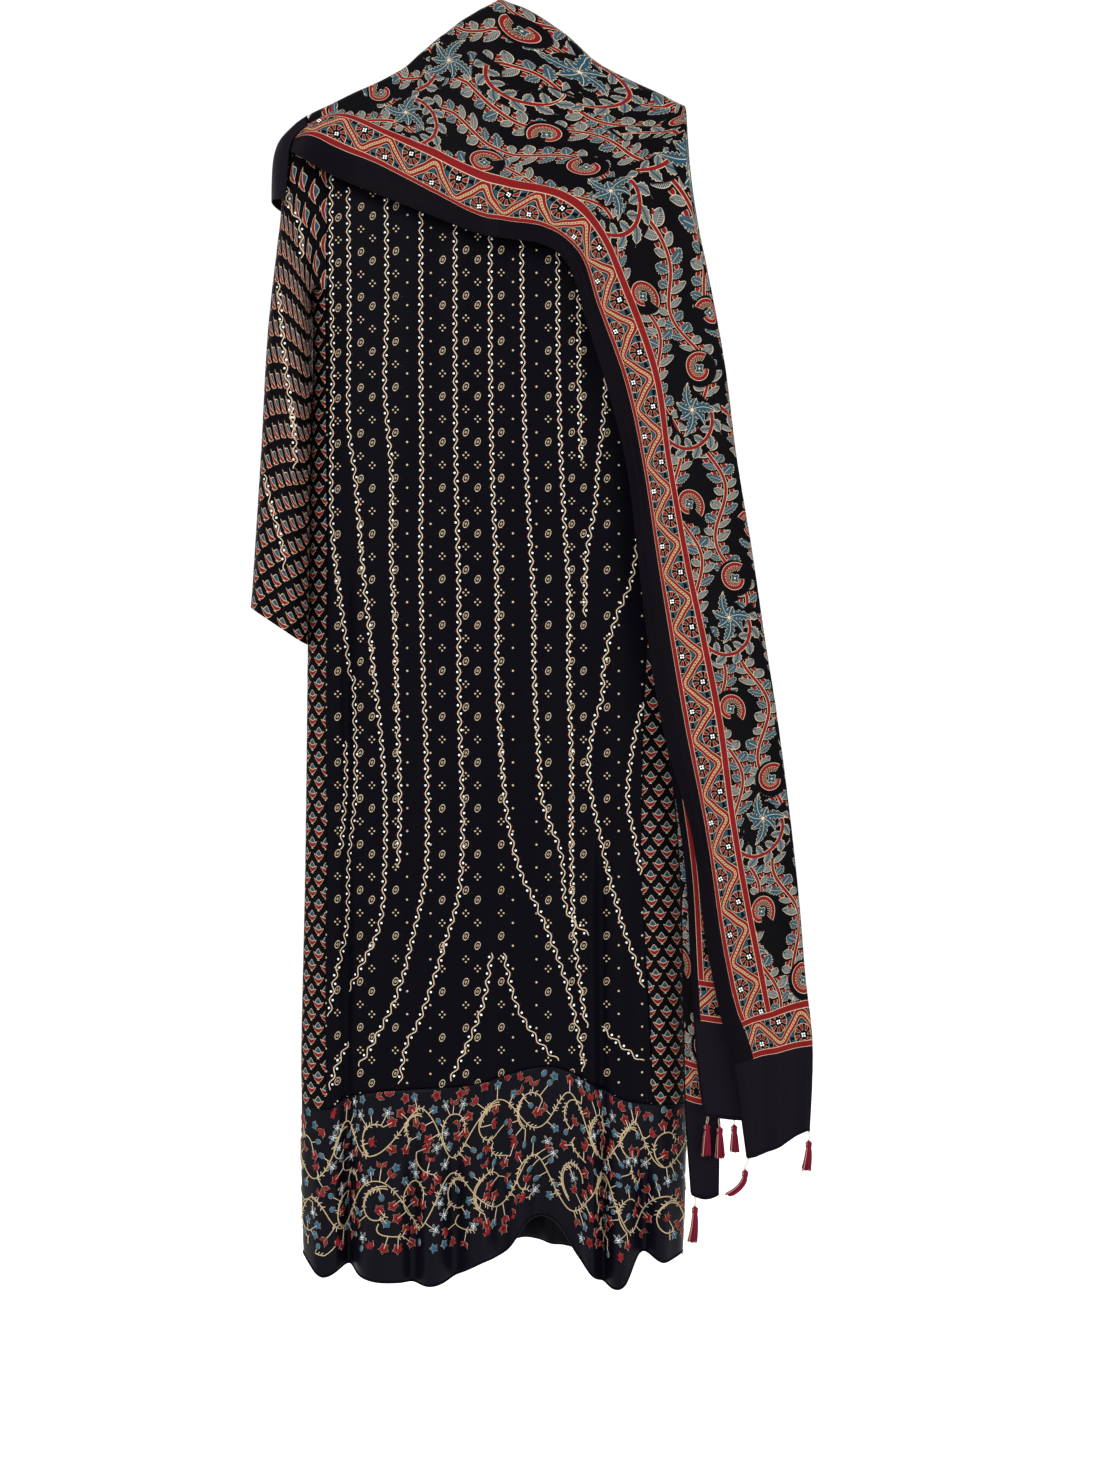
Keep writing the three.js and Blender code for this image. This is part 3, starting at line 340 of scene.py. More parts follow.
def band(side):
    def place(u, v):
        across = np.sin(np.pi * (u - 0.5)) * -side
        angle = np.arccos(-np.sign(across) * across ** 2)
        seam_x = body_point(side, angle, BACK_BAND_Z)[0]
        if side < 0:
            seam_z = read(BAND_SEAM, 1, seam_x)
            hem_z = read(HEM, 1, seam_x)
        else:
            seam_z = BACK_BAND_Z
            hem_z = BACK_HEM_Z + 5 * np.sin(seam_x / 21) * np.sin(angle)
        z = mix(hem_z, seam_z, v)
        gathers = FRONT_GATHERS if side < 0 else BACK_GATHERS
        x, y, z = body_point(side, angle, z, lambda at: gather_lift(gathers, at, seam_z - z))
        return np.stack([x, y + side * SEAM / 2 * np.sin(angle), z], -1)
    return place


def lengths_along(points):
    """How far along a line each of its points lies."""
    return np.r_[0, np.cumsum(np.linalg.norm(np.diff(points, axis=0), axis=1))]


def smooth_line(points, closed=False, count=400):
    """Centripetal curve through points, at even steps along it."""
    points = np.asarray(points, float)
    if closed:
        ring = np.vstack([points[-1:], points, points[:2]])
    else:
        ring = np.vstack([2 * points[0] - points[1], points, 2 * points[-1] - points[-2]])
    dense = []
    for p0, p1, p2, p3 in zip(ring, ring[1:], ring[2:], ring[3:]):
        steps = [max(np.linalg.norm(b - a) ** 0.5, 1e-4) for a, b in ((p0, p1), (p1, p2), (p2, p3))]
        m1 = (p1 - p0) / steps[0] - (p2 - p0) / (steps[0] + steps[1]) + (p2 - p1) / steps[1]
        m2 = (p2 - p1) / steps[1] - (p3 - p1) / (steps[1] + steps[2]) + (p3 - p2) / steps[2]
        m1, m2 = m1 * steps[1], m2 * steps[1]
        square = 3 * (p2 - p1) - 2 * m1 - m2
        cube = 2 * (p1 - p2) + m1 + m2
        for t in np.linspace(0, 1, 12, endpoint=False):
            dense.append(p1 + t * m1 + t * t * square + t ** 3 * cube)
    dense.append(points[0] if closed else points[-1])
    dense = np.array(dense)
    lengths = lengths_along(dense)
    at = np.linspace(0, lengths[-1], count + 1)
    return np.stack([np.interp(at, lengths, dense[:, k]) for k in range(3)], -1)


def armhole(hand):
    edge = np.array([1.0 if hand > 0 else 0.0])
    rows = [*np.linspace(0, 1 - CAP_SHARE, 15), 0.96, 0.98, 1]

    def climb(surface):
        points = [surface(edge, np.array([v]))[0] for v in rows]
        return [p for p in points if p[2] > UNDERARM_Z + 20]
    under = [np.array(side_point(hand, np.array(k / 8), np.array(float(UNDERARM_Z)))) for k in range(9)]
    front = climb(panel(-1, FRONT_NECK_DROP))[::-1]
    back = climb(panel(1, BACK_NECK_DROP))[:-1]
    return smooth_line([*front, *under, *back], closed=True)


def sleeve(rows, hand):
    loop = armhole(hand)

    def place(u, v):
        down = 1 - v
        turn = (1 - u if hand > 0 else u) % 1
        start = np.stack([np.interp(turn, np.linspace(0, 1, len(loop)), loop[:, k]) for k in range(3)], -1)
        outer = np.stack([along(rows, k, down) for k in (0, 1, 2)], -1)
        inner = np.stack([along(rows, k, down) for k in (3, 4, 5)], -1)
        angle = 2 * np.pi * turn
        across = np.cos(angle)
        tube = (outer + inner) / 2 + (outer - inner) * (across / 2)[..., None]
        tube[..., 1] -= along(rows, 6, down) * np.sign(np.sin(angle)) * np.sqrt(1 - across ** 4)
        return mix(start, tube, ease(0, 0.34, down)[..., None])
    return place


def layer_cap(x, off):
    return KURTA_CAP + off[0] * mix(LEFT_NEAR / FRONT_OFF[0], 1, ease(-60, 60, x))


def layer_top(x, off):
    return arm_z(x) + rise(x, layer_cap(x, off))


def layer_depth(x, drop, off):
    cap = layer_cap(x, off)
    return drape(drop, cap, rise(x, cap), BODY_DEPTH + off[1])


def parting(x):
    return SEAM + HOOK_ROOM * bell(x, 0, 10)


def through(e, b, o, u):
    up = (b - e) / MID
    on = (o - b) / (1 - MID)
    bend = (up + on) / 2
    t = u / MID
    first = mix(e, b, t) + (bend - up) * MID * t * t * (t - 1)
    t = (u - MID) / (1 - MID)
    second = mix(b, o, t) + (bend - on) * (1 - MID) * t * (1 - t) ** 2
    return np.where(u < MID, first, second)


def dupatta_front(u, v):
    ex, ez, bx, bz, ox, oz = (along(DUPATTA, k, v) for k in range(6))
    on_ridge = ease(0.6, 0.7, v)
    high = rise(ox, layer_cap(ox, FRONT_OFF))
    flat = 1 - CAP_SHARE
    brim_x = ox - 4 * (1 - on_ridge)
    brim_z = mix(oz, layer_top(ox, FRONT_OFF), on_ridge) - high * on_ridge
    fall = sum(height * bell(u, place, half) for place, half, height in DUPATTA_FOLDS)
    t = (u - flat) / CAP_SHARE
    x = np.where(u < flat, through(ex, bx, brim_x, u / flat), mix(brim_x, ox, t))
    cap_z = mix(oz, brim_z + high * np.sin(np.clip(t, 0, 1) * np.pi / 2), on_ridge)
    z = np.where(u < flat, through(ez, bz, brim_z, u / flat), cap_z)
    top = layer_top(x, FRONT_OFF)
    drop = np.where(u < flat, np.maximum(top - z, high * on_ridge), top - z)
    lift = fall * ease(0.75, 0.6, v) + SHOULDER_LIFT * ease(-150, -215, x)
    return np.stack([x, -layer_depth(x, drop, FRONT_OFF) - lift * ease(0, 60, drop) - parting(x), z], -1)


def dupatta_back(x, v):
    top = layer_top(x, FRONT_OFF)
    foot = -318 - 26 * np.cos((x - 30) / 90)
    drop = drop_at(v, rise(x, layer_cap(x, FRONT_OFF)), top - foot)
    z = top - drop
    lift = 2.5 * np.sin(x / 17 + z / 60) * ease(10, 90, drop) + SHOULDER_LIFT * ease(-150, -215, x)
    return np.stack([x, layer_depth(x, drop, FRONT_OFF) + lift * ease(0, 60, drop) + parting(x), z], -1)


def point_at(line, z):
    low = np.zeros_like(z)
    high = np.ones_like(z)
    for _ in range(24):
        middle = (low + high) / 2
        below = line(middle)[..., 2] < z
        low = np.where(below, middle, low)
        high = np.where(below, high, middle)
    return line(low)


def dupatta_turn(u, v):
    z = mix(TURN_FOOT + 8 * np.cos(3 * u - 1.5), TURN_TOP, v)
    pull = read(TURN, 1, z)
    back = point_at(lambda t: dupatta_back(np.full_like(t, BACK_LEFT), t), z)
    corner = dupatta_front(np.array(0.0), np.array(1.0))
    front = point_at(lambda t: dupatta_front(t, np.ones_like(t)), z)
    above = z > corner[2]
    fx = np.where(above, front[..., 0], corner[0])
    fy = np.where(above, front[..., 1], corner[1])
    splay = 0.5 * np.maximum(0, corner[2] - z)
    w0, w1, w2, w3 = (1 - u) ** 3, 3 * u * (1 - u) ** 2, 3 * u * u * (1 - u), u ** 3
    x = w0 * (back[..., 0] - SEAM) + (w1 + w2) * pull + w3 * (fx - TURN_GAP * 0.4)
    y = (w0 + w1) * back[..., 1] + (w2 + w3) * (fy - splay)
    return np.stack([x, y, z], -1)


def hanging_fall(rows, off, ruffle):
    def place(u, v):
        top_x = mix(rows[-1][1], rows[-1][2], u)
        top = layer_top(top_x, off)
        cap = layer_cap(top_x, off)
        high = rise(top_x, cap)
        foot = rows[0][0] - 5 * np.sin(np.pi * u)
        behind = v > OVER
        over = drop_at(np.clip((1 - v) / (1 - OVER), 0, 1), high, TUCK)
        drop = np.where(behind, over, drop_at(np.clip(v / OVER, 0, 1), high, top - foot))
        z = top - drop
        x = np.where(behind, top_x, mix(read(rows, 1, z), read(rows, 2, z), u))
        lift = ruffle * np.sin(2 * np.pi * u + z / 130) * ease(30, 260, drop)
        depth = drape(drop, cap, high, BODY_DEPTH + off[1]) + lift
        return np.stack([x, np.where(behind, depth, -depth), z], -1)
    return place


second_fall = hanging_fall(SECOND_FALL, SECOND_OFF, 1.6)
third_fall = hanging_fall(THIRD_FALL, THIRD_OFF, 1)


def normals_of(surface, u, v):
    step = 1e-4
    du = surface(u + step, v) - surface(u - step, v)
    dv = surface(u, v + step) - surface(u, v - step)
    normal = np.cross(du, dv)
    return normal / np.maximum(np.linalg.norm(normal, axis=-1, keepdims=True), 1e-12)


def creases(across, down, seed):
    """Small creases of hung silk, at places across and down the cloth, in millimetres."""
    rng = np.random.default_rng(seed)
    total = np.zeros_like(across)
    for _ in range(7):
        turn = rng.uniform(-0.16, 0.16)
        wide = rng.uniform(26, 70)
        phase = rng.uniform(0, 6.28)
        swell = 0.5 + 0.5 * np.sin(down / rng.uniform(120, 260) + rng.uniform(0, 6.28))
        total += rng.uniform(0.25, 0.6) * swell * np.sin((across + turn * down) * TURN_ROUND / wide + phase)
    for _ in range(5):
        turn = rng.uniform(-0.9, 0.9)
        phase = rng.uniform(0, 6.28)
        wide = rng.uniform(18, 40)
        patch = np.sin(across / rng.uniform(40, 90) + phase) * np.sin(down / rng.uniform(60, 140) - phase)
        total += 0.22 * np.maximum(patch, 0) * np.sin((across * turn + down) * TURN_ROUND / wide)
    return total


# Materials

class Ink:
    """A value in a node tree that is added to, scaled and compared with others."""

    def __init__(self, tree, socket):
        self.tree = tree
        self.socket = socket

    def math(self, operation, *others, clamp=False):
        node = self.tree.nodes.new("ShaderNodeMath")
        node.operation = operation
        node.use_clamp = clamp
        for k, other in enumerate((self, *others)):
            if isinstance(other, Ink):
                self.tree.links.new(other.socket, node.inputs[k])
            else:
                node.inputs[k].default_value = other
        return Ink(self.tree, node.outputs[0])

    def __add__(self, other):
        return self.math("ADD", other)

    def __sub__(self, other):
        return self.math("SUBTRACT", other)

    def __mul__(self, other):
        return self.math("MULTIPLY", other)

    def __truediv__(self, other):
        return self.math("DIVIDE", other)

    def less(self, other):
        return self.math("MINIMUM", other)

    def more(self, other):
        return self.math("MAXIMUM", other)

    def size(self):
        return self.math("ABSOLUTE")

    def part(self, step):
        """Place inside a repeat of this length, measured from its middle."""
        return (self / step).math("FRACT") * step - step / 2

    def count(self, step):
        return (self / step).math("FLOOR")

    def within(self, edge, soft=0.25):
        """1 where the value is under edge, 0 beyond it."""
        return ((self * -1 + edge) / soft + 0.5).math("ADD", 0.0, clamp=True)

    def beyond(self, edge, soft=0.25):
        """0 where the value is under edge, 1 beyond it."""
        return self.within(edge, soft).no()

    def no(self):
        return self * -1 + 1


def far(x, y):
    return (x * x + y * y).math("SQRT")


def node_group(name, **inputs):
    """A new node group and its inputs by name. Each value is what the input holds at first."""
    tree = bpy.data.node_groups.new(name, "ShaderNodeTree")
    for title, value in inputs.items():
        kind = {"Place": "Vector", "Ground": "Color"}.get(title, "Float")
        socket = tree.interface.new_socket(title, in_out="INPUT", socket_type="NodeSocket" + kind)
        if kind == "Float":
            socket.default_value = value
    entry = tree.nodes.new("NodeGroupInput")
    return tree, {s.name: Ink(tree, s) for s in entry.outputs if s.name}


def send(tree, **results):
    """Gives a node group its outputs, and returns the group."""
    for title in results:
        kind = "Color" if title == "Colour" else "Float"
        tree.interface.new_socket(title, in_out="OUTPUT", socket_type="NodeSocket" + kind)
    leave = tree.nodes.new("NodeGroupOutput")
    for title, ink in results.items():
        tree.links.new(ink.socket, leave.inputs[title])
    return tree


def place_group(tree, group, **values):
    node = tree.nodes.new("ShaderNodeGroup")
    node.node_tree = group
    for title, value in values.items():
        socket = node.inputs[title]
        if isinstance(value, Ink):
            tree.links.new(value.socket, socket)
        else:
            socket.default_value = value
    return {s.name: Ink(tree, s) for s in node.outputs}


def mixed(tree, base, colour, blend="MIX"):
    """A mix node of two colours, each an Ink or a plain one."""
    node = tree.nodes.new("ShaderNodeMix")
    node.data_type = "RGBA"
    node.blend_type = blend
    for k, value in ((6, base), (7, colour)):
        if isinstance(value, Ink):
            tree.links.new(value.socket, node.inputs[k])
        else:
            node.inputs[k].default_value = (*value, 1)
    return node


def paint(tree, base, *coats):
    """base with each colour laid over it in turn, where its mask is 1."""
    for colour, mask in coats:
        node = mixed(tree, base, colour)
        tree.links.new(mask.socket, node.inputs[0])
        base = Ink(tree, node.outputs[2])
    return base


def new_material(name):
    material = bpy.data.materials.new(name)
    material.use_nodes = True
    tree = material.node_tree
    tree.nodes.clear()
    out = tree.nodes.new("ShaderNodeOutputMaterial")
    shader = tree.nodes.new("ShaderNodeBsdfPrincipled")
    tree.links.new(shader.outputs[0], out.inputs[0])
    return material, tree, shader


def set_shader(shader, **values):
    """Sets the shader's own sockets; an Ink is linked to them."""
    for title, value in values.items():
        socket = shader.inputs[title.replace("_", " ")]
        if isinstance(value, Ink):
            shader.id_data.links.new(value.socket, socket)
        else:
            socket.default_value = value


def print_place(tree):
    """The piece's own map, and across and along the cloth on it in millimetres."""
    node = tree.nodes.new("ShaderNodeUVMap")
    node.uv_map = "Print"
    parts = tree.nodes.new("ShaderNodeSeparateXYZ")
    tree.links.new(node.outputs[0], parts.inputs[0])
    return Ink(tree, node.outputs[0]), Ink(tree, parts.outputs[0]) * 1000, Ink(tree, parts.outputs[1]) * 1000


def object_place(tree):
    return Ink(tree, tree.nodes.new("ShaderNodeTexCoord").outputs["Object"])


def noise(tree, place, scale, detail=2):
    node = tree.nodes.new("ShaderNodeTexNoise")
    node.inputs["Scale"].default_value = scale
    node.inputs["Detail"].default_value = detail
    tree.links.new(place.socket, node.inputs["Vector"])
    return Ink(tree, node.outputs[0])


def bumped(tree, height, strength, distance):
    node = tree.nodes.new("ShaderNodeBump")
    node.inputs["Strength"].default_value = strength
    node.inputs["Distance"].default_value = distance
    tree.links.new(height.socket, node.inputs["Height"])
    return Ink(tree, node.outputs[0])


CREAM = (0.46, 0.36, 0.24)
RED = (0.135, 0.0065, 0.0075)
BLUE = (0.0125, 0.045, 0.068)
GOLD = (0.34, 0.23, 0.12)
GOLD_SHADE = (0.035, 0.018, 0.012)
RED_SHADE = (0.07, 0.005, 0.006)
INK_BLACK = (0.0016, 0.0013, 0.0021)
FRONT_BLACK = (0.0016, 0.0014, 0.0028)
SATIN_BLACK = (0.0022, 0.0019, 0.0042)
EDGE_BLACK = (0.0035, 0.0028, 0.0045)
PLAIN_SILK = (0.0042, 0.0034, 0.0058)
MARGIN_SILK = (0.0024, 0.0016, 0.003)

# Repeats of the prints, in millimetres
TULIP_WIDE = 19
TULIP_TALL = 13
WAVE_GAP = 37
DOTS_TALL = 24
BAY = 58
ZIG_ZAG = 10.5
ZIG_ZAG_MIDDLE = 21
TRELLIS_WIDE = 84
TRELLIS_TALL = 118
TRELLIS_SWING = 11
LEAF_STEP = 13.5
LEAF_LENGTH = 16.5
FIELD_WIDE = 138
FIELD_TALL = 218

# Across the dupatta the print reads margin, border and field; up from its foot, plain silk and end border
MARGIN = 38
BORDER_END = 80
PLAIN_FOOT = 100
END_BORDER = 142
OVERLAP = 0.2

BOTH_HANDS = ((1, 0.0), (-1, 0.5))


def make_weave():
    tree, take = node_group("silk weave", Place=None)
    heights = []
    for scale, stretch in ((2600, 0.12), (420, 1.0)):
        mapping = tree.nodes.new("ShaderNodeMapping")
        mapping.inputs["Scale"].default_value = (1, stretch, 1)
        tree.links.new(take["Place"].socket, mapping.inputs[0])
        heights.append(noise(tree, Ink(tree, mapping.outputs[0]), scale, 3))
    slub, cloud = heights
    return send(tree, Height=slub * 0.5 + cloud * 0.6, Shade=cloud * 0.5 + 0.75)


def make_booti():
    """Staggered rows of small tulips: a red bowl with flaring tips, a blue drop and a cream outline."""
    tree, take = node_group("tulip print", Across=0, Along=0, Ground=None)
    row = take["Along"].count(TULIP_TALL)
    shift = (row / 2).math("FRACT") * TULIP_WIDE
    x = (take["Across"] + shift).part(TULIP_WIDE).size()
    y = take["Along"].part(TULIP_TALL) + 0.2
    brim = x * 0.36 - 0.8
    bowl = (x * x * -0.15 + 4.5 + y) * -1
    red = bowl.more(y - brim)
    drop = (far(x, y - 2.2) - 3.7).more((x * 1.3 + y - 6.4) / 1.64)
    foot = (x - 1.5).more((y + 6.2).size() - 0.42)
    stem = (x - 0.45).more((y + 5.2).size() - 1.2).less(foot)
    cream = red.within(0.46).more(drop.within(0.42)).more(stem.within(0))
    blue = drop.within(0) * (y - brim).beyond(0.62)
    return send(tree, Colour=paint(tree, take["Ground"], (CREAM, cream), (BLUE, blue), (RED, red.within(0))))


def make_columns():
    """Upright columns of rings, four-dot diamonds and single dots between the wavy lines."""
    tree, take = node_group("dot columns", Across=0, Along=0)
    gap = take["Across"].count(WAVE_GAP)
    share = (take["Across"] / WAVE_GAP).math("FRACT")
    right = share.beyond(0.5, 0.001)
    dx = (share - right / 3 - 1 / 3) * WAVE_GAP
    kind = gap - (gap / 3).math("FLOOR") * 3
    second_gap = ((kind - 1).size() + right.no()).within(0.5, 0.01)
    third_gap = ((kind - 2).size() + right).within(0.5, 0.01)
    single = second_gap.more(third_gap)
    down = take["Along"] + right * 10
    dz = down.part(DOTS_TALL)
    second = (down.count(DOTS_TALL) / 2).math("FRACT").within(0.25, 0.01)
    tilted = dx - dz * 0.22
    ring = (far(tilted / 2.7, dz / 3.8) - 1).size().within(0.13, 0.05)
    notch = (tilted.size() * 1.3 - dz.size()).size().within(0.5)
    diamond = (tilted.size() + dz.size() * 0.8 - 0.95).size().within(0.33)
    oval = (ring * (notch.no() * 0.8 + 0.2)).more(diamond)
    cluster = far(dx.size() - 2.6, dz).less(far(dx, dz.size() - 2.9)).within(0.92)
    dot = far(dx, dz).within(1.1)
    motif = oval * second.no() + cluster * second
    return send(tree, Mask=motif * single.no() + dot * single)


def arc_place(take, soft):
    """Places off and along an arc round the origin, and the mask of its stretch."""
    x, y, radius = take["X"], take["Y"], take["Radius"]
    turn = y.math("ARCTAN2", x) + math.pi
    off = far(x, y) - radius * (turn * take["Inward"] + 1)
    run = turn * radius
    return off, run, (take["From"] - run).within(0, soft) * (run - take["To"]).within(0, soft)


def make_stem():
    """A red vine on an arc, with veined leaves on both sides of it."""
    tree, take = node_group("leafy vine", X=0, Y=0, Radius=30, Inward=0, From=10, To=120, Leaf=11, Width=3.6)
    off, run, inside = arc_place(take, 1.5)
    thin = ((take["To"] - run) / 30).less(1).more(0.35)
    step = take["Leaf"] * 1.22
    leaves, edges = [], []
    for hand, shift in BOTH_HANDS:
        out = off * hand - 0.8
        local = ((run / step + shift).math("FRACT") - 0.35) * step
        forward = local * 0.62 + out * 0.78
        beside = (local * 0.78 - out * 0.62).size()
        t = (forward / take["Leaf"]).more(0).less(1)
        rounded = (t * math.pi).math("SINE").math("POWER", 0.6)
        teeth = (forward * 2.1).math("SINE") * 0.12 + 1
        body = rounded * teeth * take["Width"]
        vein = (forward * 0.9 + beside * 0.9).math("FRACT").within(0.34, 0.15) * beside.beyond(0.7, 0.2)
        fill = (beside - body).within(-0.55) * t.beyond(0.04, 0.02)
        leaves.append(fill * (vein * -0.55 + 1))
        edges.append((beside - body).within(0) * t.beyond(0.02, 0.02))
    stem = off.size() - thin * 1.7
    edge = edges[0].more(edges[1]).more(stem.within(0.5))
    return send(tree, Stem=stem.within(0) * inside, Leaf=leaves[0].more(leaves[1]) * inside,
                Outline=edge * inside)


def make_scroll():
    """A red scroll that curls in, with teeth along one side."""
    tree, take = node_group("toothed scroll", X=0, Y=0, Radius=14, Inward=-0.09, From=5, To=80, Tooth=5)
    off, run, inside = arc_place(take, 1)
    tooth = (((run + off * 0.7) / 4.2).math("FRACT") - 0.5).size() * 4.2
    reach = (off * -1 / take["Tooth"]).more(0).less(1)

    def comb(half, past):
        root = (off + take["Tooth"]).beyond(-past) * off.within(0)
        return (tooth - reach * -1.25).within(half, 0.2) * root
    stem = off.size().within(1.7).more(comb(1.5, 0))
    edge = off.size().within(2.2).more(comb(1.85, 0.7))
    return send(tree, Stem=stem * inside, Outline=edge * inside)


def make_burst():
    """Long notched leaves that spread from one point."""
    tree, take = node_group("burst of leaves", X=0, Y=0, Long=38, Leaves=7)
    x, y = take["X"], take["Y"]
    out = far(x, y)
    sector = (y.math("ARCTAN2", x) / (2 * math.pi) + 0.5 + out * 0.0035) * take["Leaves"]
    beside = ((sector.math("FRACT") - 0.5).size() / take["Leaves"]) * out * (2 * math.pi)
    length = take["Long"] * ((sector.math("FLOOR") * 2.4).math("SINE") * 0.28 + 0.72)
    t = (out / length).more(0).less(1)
    lobes = (out * 0.75).math("SINE").size() * 0.45 + 0.62
    past = beside - (t * math.pi).math("SINE") * lobes * 5.6
    return send(tree, Leaf=past.within(-0.5) * beside.beyond(0.25),
                Outline=past.within(0) * (out - length).within(0), Heart=out.within(1.8))


def make_border():
    """Dupatta border: two red lines with a zig-zag between them and petals round a centre in each bay."""
    tree, take = node_group("zig-zag border", Across=0, Along=0, Ground=None)
    across, run = take["Across"], take["Along"]
    turn = run * (2 * math.pi / BAY)
    wave = turn.math("COSINE") * ZIG_ZAG + (turn * 3).math("COSINE") * 0.9
    lean = (turn.math("SINE") * ZIG_ZAG + (turn * 3).math("SINE") * 2.7) * (2 * math.pi / BAY)
    off = (across - wave - ZIG_ZAG_MIDDLE) / (lean * lean + 1).math("SQRT")
    away = off.size()
    colour = take["Ground"]
    for hand, shift, centre in ((1, BAY / 2, 30), (-1, 0, 12)):
        along_bay = (run + shift + BAY / 2).part(BAY)
        over = (across - centre) * hand
        reach = far(along_bay, over)
        spin = over.math("ARCTAN2", along_bay)
        inner = (spin * 8 + reach * 0.16).math("COSINE")
        outer = (spin * 9 + 1.2).math("COSINE")
        side = (off * hand + 1).beyond(0, 0.4)
        near = (reach - 7.7).size()
        middle = (reach - 14).size()
        tail = reach.beyond(19)
        colour = paint(
            tree, colour,
            (CREAM, near.within(3.0) * (inner * -1).within(0.1, 0.2) * side),
            (RED, near.within(2.7) * (inner * -1).within(-0.1, 0.2) * side),
            (BLUE, middle.within(2.9) * (outer * -1).within(0.5, 0.3) * side),
            (CREAM, (reach - 10.9).size().within(0.16) * side),
            (BLUE, tail * inner.within(-0.1, 0.3) * side),
            (RED, tail * (inner * -1).within(-0.2, 0.3) * side),
            (CREAM, (reach - 18).size().within(0.2) * side))
    beads = far((run * 1.2 + off * 0.3).part(3.1), off).within(0.75)
    colour = paint(tree, colour, (INK_BLACK, away.within(5.3)), (CREAM, away.within(4.4)),
                   (RED, away.within(4.0)), (GOLD, away.within(1.35)), (GOLD_SHADE, beads))
    for line in (3, 39):
        near = (across - line).size()
        speck = far(run.part(2.6), (across - line + 0.6).part(2.2)).within(0.5)
        colour = paint(tree, colour, (CREAM, near.within(3.3)), (RED, near.within(2.8)),
                       (RED_SHADE, speck * near.within(1.6) * 0.8))
    return send(tree, Colour=colour)


def make_trellis():
    """Long wavy stems down the cloth with veined leaves, lobed leaves and berries on both sides."""
    tree, take = node_group("long leafy stems", Across=0, Along=0, Shift=0)
    across, run = take["Across"] + take["Shift"], take["Along"] + take["Shift"] * 1.7
    turn = run * (2 * math.pi / TRELLIS_TALL) + across.count(TRELLIS_WIDE) * 2.3
    slope = turn.math("COSINE") * (TRELLIS_SWING * 2 * math.pi / TRELLIS_TALL)
    swing = turn.math("SINE") * TRELLIS_SWING
    off = (across.part(TRELLIS_WIDE) - swing) / (slope * slope + 1).math("SQRT")
    fills, edges, berries = [], [], []
    for hand, shift in BOTH_HANDS:
        place = run / LEAF_STEP + shift
        which = place.math("FLOOR")
        size = (which * 2.7).math("SINE") * 0.14 + 0.88
        local = (place.math("FRACT") - 0.22) * LEAF_STEP
        out = off * hand - 1.6
        forward = (local * 0.5 + out * 0.87) / size
        beside = (local * 0.87 - out * 0.5).size() / size
        t = (forward / LEAF_LENGTH).more(0).less(1)
        rounded = (t * math.pi).math("SINE")
        lobed = (which * 1.7).math("SINE").beyond(0.1, 0.05)
        lobes = (forward * 1.15).math("SINE").size() * lobed * 2.6
        past = beside - (rounded.math("POWER", 0.62) * (lobed * -1.2 + 4.6) + lobes * rounded)
        vein = ((forward * 0.62 + beside * -0.5).math("FRACT") - 0.5).size().within(0.17, 0.1)
        vein = vein * beside.beyond(0.75, 0.2)
        rib = beside.within(0.36, 0.2) * t.within(0.75, 0.1)
        inside = past.within(-0.52) * t.beyond(0.05, 0.02) * t.within(0.98, 0.02)
        fills.append(inside * (vein * (lobed * -0.9 + 1) * -0.6 + 1) * (rib * -0.5 + 1))
        edges.append(past.within(0) * t.beyond(0.01, 0.01) * t.within(0.995, 0.01))
        berries.append(far(local - 9.2, out - 5.0) - 2.3)
    berry = berries[0].less(berries[1])
    edge = edges[0].more(edges[1]).more(off.size().within(2.1)).more(berry.within(0.45))
    return send(tree, Stem=off.size().within(1.6), Leaf=fills[0].more(fills[1]), Outline=edge,
                Berry=berry.within(0))


# Larger motifs of the field: across, along, angle and mirroring of each, then its own measures
VINES = ((34, 30, 0.4, 1, 34, 0.0, 128), (104, 112, 2.6, -1, 29, 0.03, 112), (70, -74, 4.4, 1, 26, 0.02, 96))
SCROLLS = ((92, 24, 2.0, 1, 17, 96), (20, 104, 0.3, -1, 15, 84), (128, -58, 3.7, 1, 16, 88))
BURSTS = ((58, -12, 0.5, 1, 36), (112, -98, 2.2, 1, 30))


def motif_place(take, cx, cy, angle, flip):
    """Places round a motif's centre, turned by its angle; the motif comes again in each repeat."""
    across = take["Across"] - cx + FIELD_WIDE / 2
    x = across.part(FIELD_WIDE)
    down = take["Along"] + across.count(FIELD_WIDE) * (FIELD_TALL / 2)
    y = (down - cy + FIELD_TALL / 2).part(FIELD_TALL) * flip
    c, s = math.cos(angle), math.sin(angle)
    return x * c + y * s, y * c - x * s


